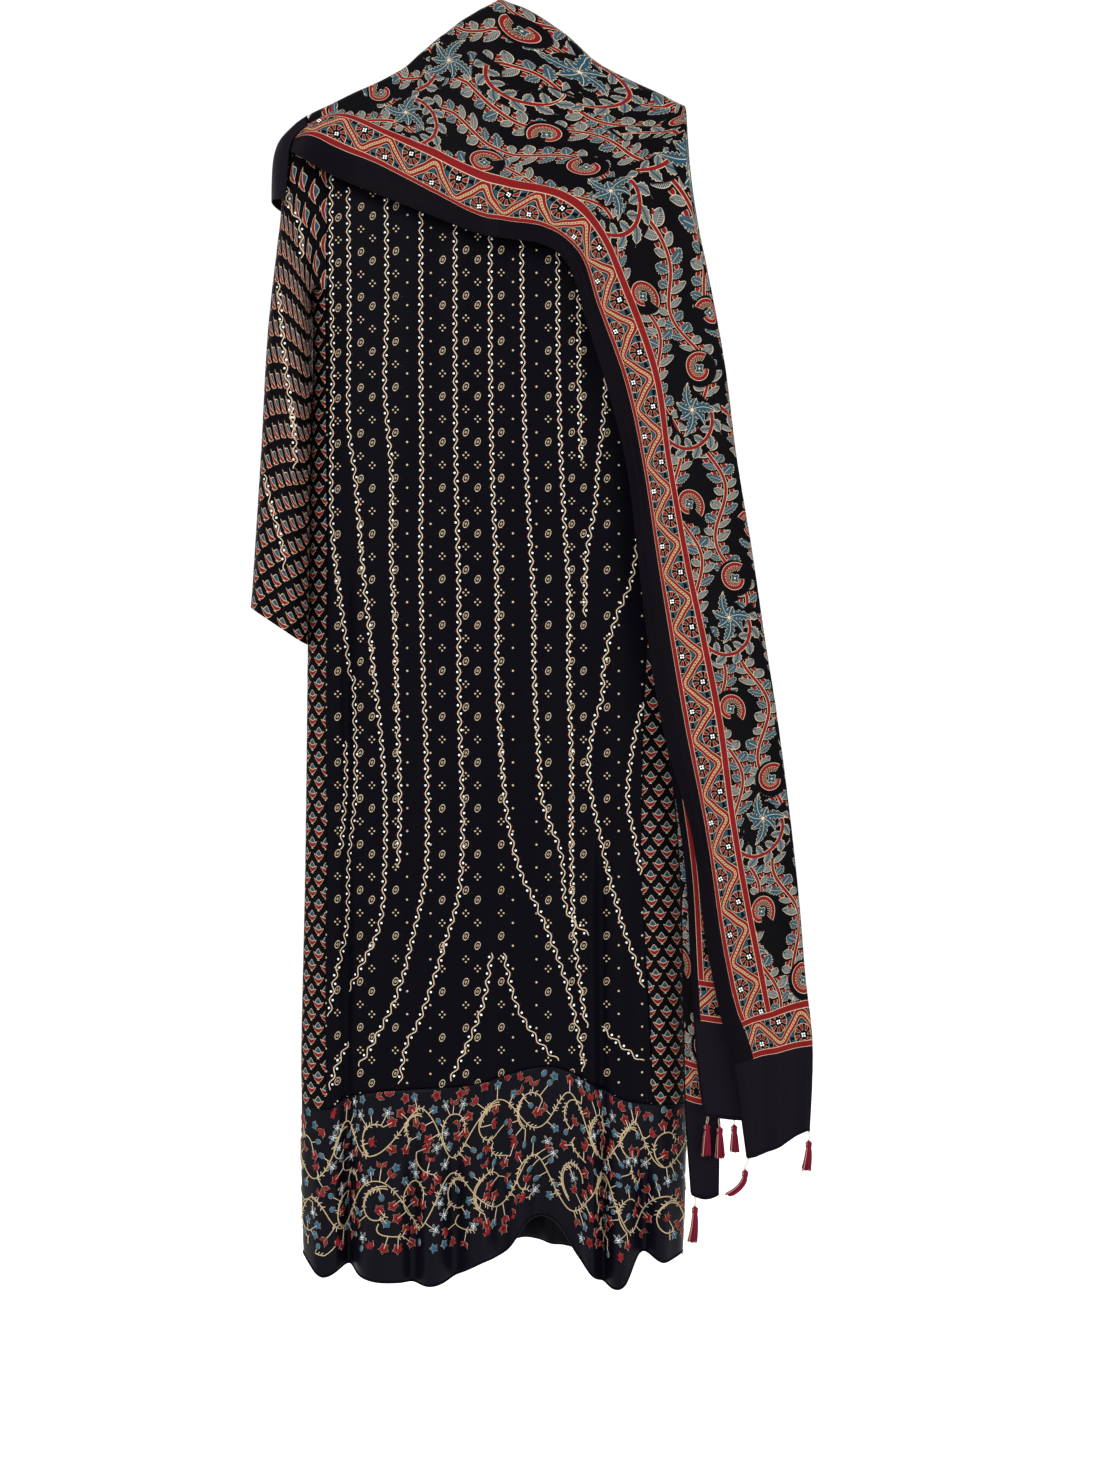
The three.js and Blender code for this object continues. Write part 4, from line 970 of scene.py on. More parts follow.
def make_field(trellis, stem, scroll, burst):
    """Dupatta field: long leafy stems, with larger vines, scrolls and bursts laid over them."""
    tree, take = node_group("vine field", Across=0, Along=0, Ground=None)
    ground = colour = take["Ground"]
    for shift in (0, 42):
        got = place_group(tree, trellis, Across=take["Across"], Along=take["Along"], Shift=shift)
        colour = paint(tree, colour, (CREAM, got["Outline"]), (BLUE, got["Leaf"]),
                       (RED, got["Stem"].more(got["Berry"])))

    for *spot, radius, inward, end in VINES:
        x, y = motif_place(take, *spot)
        got = place_group(tree, stem, X=x, Y=y, Radius=radius, Inward=inward, From=8, To=end,
                          Leaf=12.5, Width=4.2)
        before_end = (y.math("ARCTAN2", x) * radius + math.pi * radius - end).within(3)
        clear = (far(x, y) - radius).size().within(12.5, 1) * before_end
        colour = paint(tree, colour, (ground, clear), (CREAM, got["Outline"]), (BLUE, got["Leaf"]),
                       (RED, got["Stem"]))
    for *spot, radius, end in SCROLLS:
        x, y = motif_place(take, *spot)
        got = place_group(tree, scroll, X=x, Y=y, Radius=radius, To=end, Tooth=6.5)
        reach = far(x, y)
        clover = reach - (y.math("ARCTAN2", x) * 4).math("COSINE") * 1.1
        colour = paint(tree, colour, (ground, reach.within(radius + 3.2, 1)), (CREAM, got["Outline"]),
                       (RED, got["Stem"]), (CREAM, clover.within(4.6)),
                       (BLUE, clover.within(4.1) * reach.beyond(1.1)))
    for *spot, long in BURSTS:
        x, y = motif_place(take, *spot)
        got = place_group(tree, burst, X=x, Y=y, Long=long)
        colour = paint(tree, colour, (ground, far(x, y).within(long * 0.62, 1)), (CREAM, got["Outline"]),
                       (BLUE, got["Leaf"]), (CREAM, got["Heart"]))
    return send(tree, Colour=colour)


weave = make_weave()
booti = make_booti()
columns = make_columns()
border = make_border()
field = make_field(make_trellis(), make_stem(), make_scroll(), make_burst())


def finish_silk(tree, shader, place, colour, rough, gloss=0.02):
    """Weave over a colour: its cloudy shade, its roughness and its slubs."""
    got = place_group(tree, weave, Place=place)
    grey = tree.nodes.new("ShaderNodeCombineColor")
    for k in range(3):
        tree.links.new(got["Shade"].socket, grey.inputs[k])
    node = mixed(tree, colour, Ink(tree, grey.outputs[0]), "MULTIPLY")
    node.inputs[0].default_value = 0.6
    set_shader(shader, Base_Color=Ink(tree, node.outputs[2]), Roughness=got["Shade"] * 0.2 + (rough - 0.2),
               Normal=bumped(tree, got["Height"], 0.12, 0.0006), Specular_IOR_Level=gloss)


def front_silk():
    material, tree, shader = new_material("black silk with dot columns")
    place, across, down = print_place(tree)
    mask = place_group(tree, columns, Across=across, Along=down)["Mask"]
    finish_silk(tree, shader, place, paint(tree, FRONT_BLACK, (CREAM, mask * 0.8)), 0.5)
    return material


def booti_silk():
    material, tree, shader = new_material("black silk with tulips")
    place, across, down = print_place(tree)
    colour = place_group(tree, booti, Across=across, Along=down, Ground=(*INK_BLACK, 1))["Colour"]
    finish_silk(tree, shader, place, colour, 0.55)
    return material


def band_silk():
    material, tree, shader = new_material("black satin")
    finish_silk(tree, shader, print_place(tree)[0], SATIN_BLACK, 0.4, 0.045)
    return material


def dupatta_silk():
    material, tree, shader = new_material("printed dupatta silk")
    place, across, down = print_place(tree)
    ground = (*INK_BLACK, 1)
    vines = place_group(tree, field, Across=across, Along=down, Ground=ground)["Colour"]
    side = place_group(tree, border, Across=across - MARGIN, Along=down, Ground=ground)["Colour"]
    end = place_group(tree, border, Across=down - PLAIN_FOOT, Along=across, Ground=ground)["Colour"]
    margin = across.within(MARGIN - OVERLAP)
    colour = paint(tree, vines, (side, across.within(BORDER_END + OVERLAP)), (MARGIN_SILK, margin),
                   (end, down.within(END_BORDER + OVERLAP) * margin.no()),
                   (PLAIN_SILK, down.within(PLAIN_FOOT - OVERLAP)))
    finish_silk(tree, shader, place, colour, 0.5, 0.022)
    return material


def thread(name, colour, twist=900, rough=0.55, metal=0.0):
    material, tree, shader = new_material(name)
    wave = tree.nodes.new("ShaderNodeTexWave")
    wave.inputs["Scale"].default_value = twist
    wave.inputs["Distortion"].default_value = 2
    wave.bands_direction = "DIAGONAL"
    tree.links.new(object_place(tree).socket, wave.inputs["Vector"])
    strands = Ink(tree, wave.outputs["Fac"])
    # The colour drops to 0.7 of itself where the strand bump is low: painted shade in the grooves between
    # the strands.
    groove_shade = tuple(c * 0.7 for c in colour)
    set_shader(shader, Base_Color=paint(tree, groove_shade, (colour, strands)), Roughness=rough, Metallic=metal,
               Normal=bumped(tree, strands, 0.5, 0.0002), Specular_IOR_Level=0.12)
    return material


def spangle(name, colour, rough, metal, coat):
    material, tree, shader = new_material(name)
    worn = noise(tree, object_place(tree), 300)
    dull = tuple(c * 0.8 for c in colour)
    set_shader(shader, Base_Color=paint(tree, dull, (colour, worn)), Roughness=worn * 0.15 + rough,
               Metallic=metal, Coat_Weight=coat)
    return material


def moulded_plastic():
    material, tree, shader = new_material("blue moulded plastic")
    scuff = noise(tree, object_place(tree), 220, 4)
    set_shader(shader, Base_Color=paint(tree, (0.014, 0.11, 0.36), ((0.025, 0.16, 0.46), scuff)),
               Roughness=scuff * 0.2 + 0.28, Normal=bumped(tree, scuff, 0.15, 0.0003))
    return material


def edge_silk():
    material, tree, shader = new_material("rolled edge of dark silk")
    finish_silk(tree, shader, object_place(tree), EDGE_BLACK, 0.5)
    return material


FRONT = front_silk()
BOOTI = booti_silk()
BAND = band_silk()
SHAWL = dupatta_silk()
EDGE = edge_silk()
CREAM_THREAD = thread("cream thread", (0.6, 0.48, 0.33))
GOLD_THREAD = thread("gold cord", (0.47, 0.36, 0.21), 700, 0.45, 0.1)
RED_THREAD = thread("red thread", (0.19, 0.005, 0.009))
BLUE_THREAD = thread("blue thread", (0.03, 0.11, 0.18))
TASSEL_CREAM = thread("tassel cream thread", (0.4, 0.27, 0.2), 600, 0.7)
MAROON_THREAD = thread("maroon thread", (0.15, 0.0035, 0.018), 600, 0.7)
SEQUIN = spangle("white sequin", (0.86, 0.86, 0.84), 0.22, 0.25, 0.5)
SILVER_BEAD = spangle("silver bead", (0.75, 0.75, 0.78), 0.2, 0.6, 0.3)
PLASTIC = moulded_plastic()


# Pieces

def dress(obj, material, slot, nodes=()):
    obj.data.materials.clear()
    obj.data.materials.append(material)
    obj.data.polygons.foreach_set("use_smooth", [True] * len(obj.data.polygons))
    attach(obj, "root")
    if nodes:
        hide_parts(*nodes)
    return obj


def add_object(name, data):
    obj = bpy.data.objects.new(name, data)
    bpy.context.scene.collection.objects.link(obj)
    return obj


def mesh_of(name, bm):
    mesh = bpy.data.meshes.new(name)
    bm.to_mesh(mesh)
    bm.free()
    return mesh


def put(name, bm):
    return add_object(name, mesh_of(name, bm))


def cloth(name, surface, across, rows, marks, look, nodes, seed, crease, tube=False):
    """A surface as cloth: creased, mapped for its print, and as thick as silk is drawn."""
    bm = bmesh.new()
    bmesh.ops.create_grid(bm, x_segments=across, y_segments=rows, size=0.5)
    bm.verts.ensure_lookup_table()
    grid = np.array([(v.co.x, v.co.y) for v in bm.verts]) + 0.5
    u, v = grid[:, 0], np.clip(grid[:, 1], 0, 1)
    side = u if tube else np.clip(u, RIM, 1 - RIM)
    points = surface(side, np.clip(v, RIM, 1 - RIM))
    printed = marks(u, v, points)
    normal = normals_of(surface, side, np.clip(v, RIM * 1.5, 1 - RIM * 1.5))
    ripple = creases(printed[0], printed[1], seed) * crease
    ripple = ripple * ease(0, 0.05, v) * ease(1, 0.93, v)
    if tube:
        ripple *= np.sin(np.pi * u) ** 0.5 + 1e-6
    points = points + normal * np.minimum(ripple, CREASE_TOP)[:, None]
    uv_layer = bm.loops.layers.uv.new("Print")
    for vert, point in zip(bm.verts, points):
        vert.co = point / 1000
    for face in bm.faces:
        for loop in face.loops:
            k = loop.vert.index
            loop[uv_layer].uv = (printed[0][k] / 1000, printed[1][k] / 1000)
    if tube:
        bmesh.ops.remove_doubles(bm, verts=bm.verts, dist=2e-5)
    obj = put(name, bm)
    wall = obj.modifiers.new("cloth", "SOLIDIFY")
    wall.thickness = CLOTH / 1000
    wall.offset = -1
    return dress(obj, *look, nodes)


def flat_marks(u, v, points):
    return points[:, 0] - FIRST_WAVE, points[:, 2]


def round_marks(middle, least=1.0):
    """Print places measured on the cloth from the line at u = middle.

    Where the cloth turns away, a step counts for less, down to least of its length.
    """
    def marks(u, v, points):
        order = np.lexsort((np.round(u, 5), np.round(v, 5)))
        columns = len(np.unique(np.round(u, 5)))
        grid = points[order].reshape(-1, columns, 3)
        hops = np.diff(grid, axis=1)
        steps = np.linalg.norm(hops, axis=2)
        steps *= np.clip(np.sqrt(np.abs(hops[..., 0]) / np.maximum(steps, 1e-6)), least, 1)
        run = np.hstack([np.zeros((len(grid), 1)), np.cumsum(steps, axis=1)])
        line = int(round(middle * (columns - 1)))
        down = lengths_along(grid[:, line])
        across = np.empty(len(u))
        along_line = np.empty(len(u))
        across[order] = (run - run[:, [line]]).ravel()
        along_line[order] = np.repeat(down, columns)
        return across, along_line
    return marks


def run_lengths(surface, u_at, count=300):
    v = np.linspace(0, 1, count)
    points = surface(np.full(count, u_at), v)
    return v, lengths_along(points)


def dupatta_marks(u, v, points):
    v_at, lengths = run_lengths(dupatta_front, BORDER_MIDDLE)
    bx, bz, ox, oz, inner, outer = (along(DUPATTA, k, v) for k in range(2, 8))
    span = np.hypot(ox - bx, oz - bz) / FIELD_SHARE
    border_share = (u - inner) / (outer - inner)
    across = np.where(u < inner, MARGIN * u / inner, mix(MARGIN, BORDER_END, border_share))
    across = np.where(u > outer, BORDER_END + (u - outer) * span * 1.12, across)
    return across, np.interp(v, v_at, lengths)


def fall_marks(surface, start, width):
    v_at, lengths = run_lengths(surface, 0.5)

    def marks(u, v, points):
        return start + width * u, np.interp(v, v_at, lengths)
    return marks


def back_marks(u, v, points):
    return 190 - (points[:, 2] + 350), 1700 - points[:, 0]


SIDE_NODES = {
    hand: [f"kurta_side_{hand}_{face}_{half}" for face in ("front", "back") for half in ("lower", "upper")]
    for hand in ("left", "right")
}
PLAIN = (FRONT, "black_silk")
PRINTED = (BOOTI, "printed_silk")
SATIN = (BAND, "band_silk")
SHAWL_SILK = (SHAWL, "dupatta_silk")

kurta_front = panel(-1, FRONT_NECK_DROP)
kurta_back = panel(1, BACK_NECK_DROP)


def back_outward(u, v):
    return kurta_back(1 - u, v)


def dupatta_back_outward(u, v):
    return dupatta_back(-mix(-176, 196, u), v)


# Name, surface, faces across and down, print, look, nodes, seed of the creases, their depth, closed round
CLOTHS = {
    row[0]: cloth(*row) for row in (
        ("kurta_front_silk", kurta_front, 130, 170, flat_marks, PLAIN,
         ["kurta_front_lower", "kurta_front_upper"], 3, 1),
        ("kurta_back_silk", back_outward, 90, 120, flat_marks, PLAIN,
         ["kurta_back_lower", "kurta_back_upper"], 5, 1),
        ("side_panel_left", side_panel(-1), 34, 110, round_marks(1), PRINTED, SIDE_NODES["left"], 7, 0.5),
        ("side_panel_right", side_panel(1), 40, 110, round_marks(0), PRINTED, SIDE_NODES["right"], 8, 0.5),
        ("sleeve_left_silk", sleeve(SLEEVE_LEFT, -1), 110, 120, round_marks(0.25, 0.5), PRINTED,
         ["sleeve_left"], 11, 1, True),
        ("sleeve_right_silk", sleeve(SLEEVE_RIGHT, 1), 90, 110, round_marks(0.75, 0.5), PRINTED,
         ["sleeve_right"], 12, 0.6, True),
        ("hem_band_front_satin", band(-1), 190, 46, flat_marks, SATIN, ["hem_band_front"], 13, 0.7),
        ("hem_band_back_satin", band(1), 150, 40, flat_marks, SATIN, ["hem_band_back"], 14, 0.7),
        ("dupatta_front_silk", dupatta_front, 70, 330, dupatta_marks, SHAWL_SILK,
         ["dupatta_front", "dupatta_chest"], 17, 0.5),
        ("dupatta_back_silk", dupatta_back_outward, 140, 60, back_marks, SHAWL_SILK,
         ["dupatta_back_right", "dupatta_back_middle", "dupatta_back_left"], 18, 0.4),
        ("dupatta_turn_silk", dupatta_turn, 50, 40, fall_marks(dupatta_turn, 0, 36), SHAWL_SILK,
         ["dupatta_turn"], 19, 0.4),
        ("dupatta_second_silk", second_fall, 34, 200, fall_marks(second_fall, 30, 110), SHAWL_SILK,
         ["dupatta_second_fall"], 20, 0.3),
        ("dupatta_third_silk", third_fall, 20, 200, fall_marks(third_fall, 96, 60), SHAWL_SILK,
         ["dupatta_third_fall"], 21, 0.3),
    )
}


# Thread work: drawn flat in millimetres, then laid on the cloth

# Wavy lines down the front: places across and height
FRONT_WAVES = [
    [(-179, -256), (-179, -351), (-178, -408), (-177, -469), (-178, -558), (-177, -646), (-169, -711),
     (-158, -798)],
    [(-164, -864), (-163, -904), (-168, -978)],
    [(-161, -278), (-159, -408), (-159, -538), (-153, -581), (-147, -650), (-141, -711), (-134, -776),
     (-125, -859), (-121, -918), (-121, -996), (-127, -1059), (-146, -1100), (-160, -1127)],
    [(-121, -254), (-119, -408), (-121, -494), (-114, -581), (-114, -668), (-110, -754), (-107, -859),
     (-105, -928), (-107, -996)],
    [(-83, -262), (-83, -451), (-82, -581), (-83, -668), (-80, -798), (-77, -881), (-76, -950), (-78, -1004),
     (-91, -1068), (-109, -1132), (-132, -1178), (-148, -1205)],
    [(-47, -265), (-47, -451), (-46, -581), (-43, -711), (-43, -798), (-41, -881), (-39, -950), (-43, -1023),
     (-55, -1068), (-68, -1109), (-86, -1160), (-98, -1182), (-105, -1223)],
    [(-10, -271), (-10, -451), (-8, -581), (-3, -711), (-3, -798), (2, -881), (9, -950), (23, -1004),
     (41, -1041), (59, -1086), (75, -1137), (86, -1191), (88, -1210)],
    [(22, -271), (24, -451), (26, -538), (30, -624), (35, -711), (36, -798), (41, -881), (45, -928),
     (64, -982), (70, -1041), (84, -1059), (93, -1067)],
    [(61, -270), (61, -451), (63, -538), (67, -624), (72, -711), (72, -798), (75, -881), (75, -973),
     (78, -1064), (86, -1132), (91, -1164)],
    [(83, -265), (83, -494), (85, -570)],
    [(112, -280), (113, -430), (109, -520), (103, -573), (100, -616), (91, -668), (89, -733)],
    [(150, -300), (150, -560), (138, -694), (122, -733), (109, -784), (107, -819), (100, -840), (93, -895),
     (105, -963), (119, -1023), (132, -1068), (146, -1105), (150, -1123)],
    [(150, -823), (139, -873), (134, -928), (141, -963), (148, -1004)],
    [(-154, -795), (-152, -918), (-160, -996), (-162, -1059), (-176, -1123), (-180, -1154)],
    [(-160, -1181), (-172, -1205), (-180, -1231)],
    [(107, -1164), (128, -1184), (150, -1201)],
    [(-9, -1086), (-18, -1141), (-37, -1187), (-52, -1219)],
    [(4, -1086), (18, -1141), (41, -1178), (61, -1199)],
]
SLEEVE_WAVES = [
    [(-224, -281), (-221, -302), (-211, -319), (-208, -357)],
    [(-232, -384), (-228, -424), (-224, -464), (-219, -502), (-213, -540)],
    [(-246, -585), (-238, -618), (-232, -638), (-227, -658), (-223, -686)],
    [(-218, -514), (-214, -545), (-213, -580)],
]
WAVE_STEP = 17.4
WAVE_SWING = 1.9
THREAD = 0.62
SEQUIN_SIZE = 1.4
SEQUIN_OUT = 1.5
KNOT_SIZE = 0.62
KNOT_OUT = 3.4


class Bed:
    """The outer face of a cloth, for laying thread on. Places are in millimetres."""

    def __init__(self, piece):
        corners = [v.co * 1000 for v in piece.data.vertices]
        self.tree = BVHTree.FromPolygons(corners, [list(p.vertices) for p in piece.data.polygons])

    def from_front(self, x, z, lift):
        """The place on the cloth that is seen at x and z from the front, lifted off it."""
        place, normal = self.tree.ray_cast(Vector((x, -400, z)), Vector((0, 1, 0)))[:2]
        if place is None:
            return None
        return place + normal * (lift if normal.y < 0 else -lift)

    def nearest(self, point, lift):
        place, normal = self.tree.find_nearest(Vector(point))[:2]
        return place + normal * lift


def cord_piece(name, lines, radius, material, slot, sides=0):
    """Round cords along lines of points, in millimetres."""
    data = bpy.data.curves.new(name, "CURVE")
    data.dimensions = "3D"
    data.bevel_depth = radius / 1000
    data.bevel_resolution = sides
    data.use_fill_caps = True
    for line in lines:
        spline = data.splines.new("POLY")
        spline.points.add(len(line) - 1)
        points = np.c_[np.array([tuple(p) for p in line]) / 1000, np.ones(len(line))]
        spline.points.foreach_set("co", points.ravel())
    shape = bpy.data.objects.new(name, data)
    mesh = bpy.data.meshes.new_from_object(shape)
    bpy.data.objects.remove(shape)
    return dress(add_object(name, mesh), material, slot)


def stamp_shape(name, make):
    bm = bmesh.new()
    make(bm)
    bmesh.ops.recalc_face_normals(bm, faces=bm.faces)
    return mesh_of(name, bm)


def press(bm, shape, matrix):
    copy = shape.copy()
    copy.transform(matrix)
    bm.from_mesh(copy)
    bpy.data.meshes.remove(copy)


def stamped(name, shape, matrices, material, slot):
    bm = bmesh.new()
    for matrix in matrices:
        press(bm, shape, matrix)
    return dress(put(name, bm), material, slot)


def sequin_shape(bm):
    bmesh.ops.create_cone(bm, cap_ends=True, segments=7, radius1=1, radius2=0.72, depth=0.4,
                          matrix=Matrix.Translation((0, 0, 0.2)))


def knot_shape(bm):
    bmesh.ops.create_icosphere(bm, subdivisions=1, radius=1)


def petal_shape(corners):
    def make(bm):
        bmesh.ops.create_cone(bm, cap_ends=True, segments=corners, radius1=1, radius2=0.5, depth=1,
                              matrix=Matrix.Translation((0, 0, 0.5)))
    return make


def standing(place, normal, size):
    """Sets a small shape on the cloth: its up along the normal, and its size in millimetres."""
    turn = Vector(normal).to_track_quat("Z", "Y").to_matrix().to_4x4()
    return Matrix.Translation(Vector(place) / 1000) @ turn @ Matrix.Scale(size / 1000, 4)


def flat_line(points, step):
    """A curve through points of the photo's plane: its line, its sideways direction and its run."""
    points = np.array([(x, z, 0) for x, z in points], float)
    rough = np.linalg.norm(np.diff(points, axis=0), axis=1).sum()
    line = smooth_line(points, count=max(int(rough / step), 4))[:, :2]
    ahead = np.gradient(line, axis=0)
    ahead /= np.linalg.norm(ahead, axis=1)[:, None]
    run = lengths_along(line)
    return line, np.stack([-ahead[:, 1], ahead[:, 0]], -1), run


def on_bed(bed, place, size):
    """A matrix that sets a shape on the cloth, or None where the cloth ends."""
    seat = bed.from_front(place[0], place[1], 0)
    lifted = bed.from_front(place[0], place[1], 1)
    return None if seat is None else standing(seat, lifted - seat, size)


def wavy_work(name, bed, waves):
    """Wavy thread with a sequin in every bend and a red knot outside it."""
    threads, sequins, knots = [], [], []
    for points in waves:
        line, beside, run = flat_line(points, 1.45)
        swing = WAVE_SWING * np.sin(run * 2 * np.pi / WAVE_STEP)
        places = [bed.from_front(x, z, THREAD * 0.8) for x, z in line + beside * swing[:, None]]
        seen = [p for p in places if p is not None]
        if len(seen) > 3:
            threads.append(seen)
        for k in range(int(run[-1] / WAVE_STEP * 2)):
            at = (k + 0.5) * WAVE_STEP / 2
            middle = np.array([np.interp(at, run, line[:, 0]), np.interp(at, run, line[:, 1])])
            out = np.array([np.interp(at, run, beside[:, 0]), np.interp(at, run, beside[:, 1])])
            hand = 1 if k % 2 == 0 else -1
            sequins.append(on_bed(bed, middle - out * hand * SEQUIN_OUT, SEQUIN_SIZE))
            knots.append(on_bed(bed, middle + out * hand * KNOT_OUT, KNOT_SIZE))
    return [
        cord_piece(name + "_wavy_thread", threads, THREAD, CREAM_THREAD, "printed_silk"),
        stamped(name + "_sequins", SEQUIN_STAMP, [m for m in sequins if m], SEQUIN, "printed_silk"),
        stamped(name + "_red_knots", KNOT_STAMP, [m for m in knots if m], RED_THREAD, "printed_silk"),
    ]


SEQUIN_STAMP = stamp_shape("sequin", sequin_shape)
KNOT_STAMP = stamp_shape("knot", knot_shape)
OVAL_STAMP = stamp_shape("oval petal", petal_shape(8))
LEAF_STAMP = stamp_shape("pointed petal", petal_shape(4))

front_work = wavy_work("front", Bed(CLOTHS["kurta_front_silk"]), FRONT_WAVES)
sleeve_work = wavy_work("left_sleeve", Bed(CLOTHS["sleeve_left_silk"]), SLEEVE_WAVES)


# Hem embroidery: places run along the band and down from its seam

VINE_REPEAT = 104
VINE_ROWS = ((46, 0), (116, 0.5))
VINE_SWING = 24
VINE_CLEAR = 4.4
STEM_REACH = 17
PLAIN_HEM = 22
SOW_STEP = 15.5
SOW_ROW = 14.2
FIFTH_TURN = 1.257
VINE_RADIUS = 0.66
TICK_RADIUS = 0.44
TICK_LENGTH = 3.1
TICK_STEP = 5.6


def band_map(side):
    """From a place along and down the band to its face, gathers and all."""
    surface = band(side)
    u = np.linspace(0.001, 0.999, 1400)
    middle = surface(u, np.full_like(u, 0.5))
    run = lengths_along(middle)
    tall = np.linalg.norm(surface(u, np.full_like(u, 0.999)) - surface(u, np.full_like(u, 0.001)), axis=1)

    def place(s, t):
        at = np.interp(s, run, u)
        return surface(at, np.clip(1 - t / np.interp(s, run, tall), 0.002, 0.998))
    return place, run[-1], lambda s: np.interp(s, run, tall)


def scroll_line(cx, cy, start, turns, wide, narrow, hand):
    angle = start + hand * np.linspace(0, 2 * np.pi * turns, int(turns * 30))
    radius = np.linspace(wide, narrow, len(angle))
    return np.stack([cx + radius * np.cos(angle), cy + radius * np.sin(angle)], -1)


def branch_line(cx, level, up, rng):
    """A bent branch that leaves its stem on the far side."""
    t = np.linspace(0, 1, 16)[:, None]
    tip = np.array([cx + rng.uniform(14, 26), level - up * rng.uniform(34, 44)])
    root = np.array([cx, level - up * 20.0])
    bend = np.array([cx + rng.uniform(-16, 2), level - up * 34.0])
    return root * (1 - t) ** 2 + 2 * bend * t * (1 - t) + tip * t ** 2


def vine_lines(length, rng):
    """Two rows of scrolls with the stems that join them, some of them doubled."""
    thick = []
    for row, (level, shift) in enumerate(VINE_ROWS):
        s = np.arange(-6, length + 6, 2.2)
        swing = VINE_SWING * np.sin((s / VINE_REPEAT + shift) * 2 * np.pi)
        stem = level + swing + 5 * np.sin(s / 31 + row * 2)
        stem = np.stack([s + 6 * np.sin(s / 23 + row), stem], -1)
        thick.append(stem)
        for k in range(int(length / VINE_REPEAT * 2) + 2):
            middle = (k / 2 - shift + 0.25) * VINE_REPEAT
            up = 1 if k % 2 == 0 else -1
            cy = level + up * -2 + rng.uniform(-3, 3)
            cx = middle + rng.uniform(-5, 5)
            wide = rng.uniform(19, 27)
            start = np.pi * (0.5 if up > 0 else -0.5) + 0.4
            turns = rng.uniform(0.42, 0.68)
            thick.append(scroll_line(cx, cy, start, turns, wide, 12, up))
            if k % 3 != 1:
                thick.append(scroll_line(cx, cy, start + 0.1, 0.3, wide - 2.3, 17, up))
            if k % 2:
                thick.append(branch_line(cx, level, up, rng))
    return thick


def tick_lines(line, rng):
    """Short pairs of stitches on both sides of a vine, a few at a time."""
    ticks = []
    ahead = np.gradient(line, axis=0)
    ahead /= np.maximum(np.linalg.norm(ahead, axis=1), 1e-6)[:, None]
    run = lengths_along(line)
    start = rng.uniform(4, 30)
    while start < run[-1] - 6:
        for _ in range(int(rng.integers(2, 5))):
            k = int(np.searchsorted(run, start))
            if k >= len(line):
                break
            for hand in (1, -1):
                out = np.array([-ahead[k, 1], ahead[k, 0]]) * hand + ahead[k] * 0.8
                ticks.append(np.array([line[k], line[k] + out * TICK_LENGTH]))
            start += TICK_STEP
        start += rng.uniform(14, 32)
    return ticks


def petal_matrix(x, y, angle, long, wide, low, tall):
    """A petal that starts at x, y and points along angle, with its foot at low."""
    move = Matrix.Translation((x + math.cos(angle) * long / 2, y + math.sin(angle) * long / 2, low))
    size = Matrix.Diagonal((long / 2, wide / 2, tall, 1))
    return move @ Matrix.Rotation(angle, 4, "Z") @ size


class Flowers:
    """Petals drawn flat in four colours, each on a cream edge."""

    def __init__(self):
        self.beds = {colour: bmesh.new() for colour in ("cream", "red", "blue", "silver")}

    def petal(self, colour, x, y, angle, long, wide, pointed=False, edge=0.45):
        shape = LEAF_STAMP if pointed else OVAL_STAMP
        back = petal_matrix(x - math.cos(angle) * edge, y - math.sin(angle) * edge, angle, long + 2 * edge,
                            wide + 2 * edge, 0, 0.35)
        press(self.beds["cream"], shape, back)
        press(self.beds[colour], shape, petal_matrix(x, y, angle, long, wide, 0.25, 0.55))

    def bead(self, x, y, size):
        press(self.beds["silver"], KNOT_STAMP, Matrix.Translation((x, y, 0.5)) @ Matrix.Scale(size, 4))

    def star(self, colour, x, y, turn, long, wide):
        for k in range(5):
            self.petal(colour, x, y, turn + k * 2 * math.pi / 5, long, wide, pointed=True)

    def leaves(self, x, y, turns):
        for turn in turns:
            self.petal("red", x, y, turn, 9.6, 4.2, pointed=True)

    def plant(self, pick, x, y, turn):
        """One flower, bud or spray of leaves, chosen by pick from 0 to 1."""
        if pick < 0.26:
            self.star("red", x, y, turn, 6.0, 4.3)
        elif pick < 0.46:
            self.star("blue", x, y, turn, 5.0, 3.8)
        elif pick < 0.60:
            self.petal("blue", x, y, turn, 7.4, 5.0)
        elif pick < 0.72:
            self.cluster(x, y, turn)
        elif pick <= 0.86:
            self.leaves(x, y, (turn + 0.6, turn - 0.6))
        else:
            self.leaves(x, y, (turn + 0.6, turn - 0.6, turn))

    def cluster(self, x, y, turn):
        ways = [turn + k * FIFTH_TURN for k in range(5)]
        for way in ways:
            self.petal("blue", x + math.cos(way) * 1.8, y + math.sin(way) * 1.8, way, 4.6, 2.1)
        self.bead(x, y, 1.15)
        for way in ways:
            self.bead(x + 2.1 * math.cos(way + 0.6), y + 2.1 * math.sin(way + 0.6), 0.85)


def sow(flowers, length, tall_at, lines, rng):
    """Flowers in the spaces that the vines leave; those near a vine get a short stem to it."""
    points = np.vstack(lines)
    stems = []
    for row in range(12):
        for column in range(int(length / SOW_STEP)):
            s = (column + 0.5 + 0.5 * (row % 2)) * SOW_STEP + rng.uniform(-4, 4)
            t = 7 + row * SOW_ROW + rng.uniform(-3.6, 3.6)
            pick, turn = rng.uniform(), rng.uniform(0, 6.28)
            if not 3 < s < length - 3 or not 4 < t < tall_at(s) - PLAIN_HEM:
                continue
            away = np.linalg.norm(points - (s, t), axis=1)
            near = int(np.argmin(away))
            if away[near] < VINE_CLEAR:
                continue
            if away[near] < STEM_REACH:
                way = (np.array([s, t]) - points[near]) / away[near]
                turn = math.atan2(way[1], way[0])
                stems.append(np.array([points[near], (s, t)]))
            flowers.plant(pick, s, t, turn)
    return stems


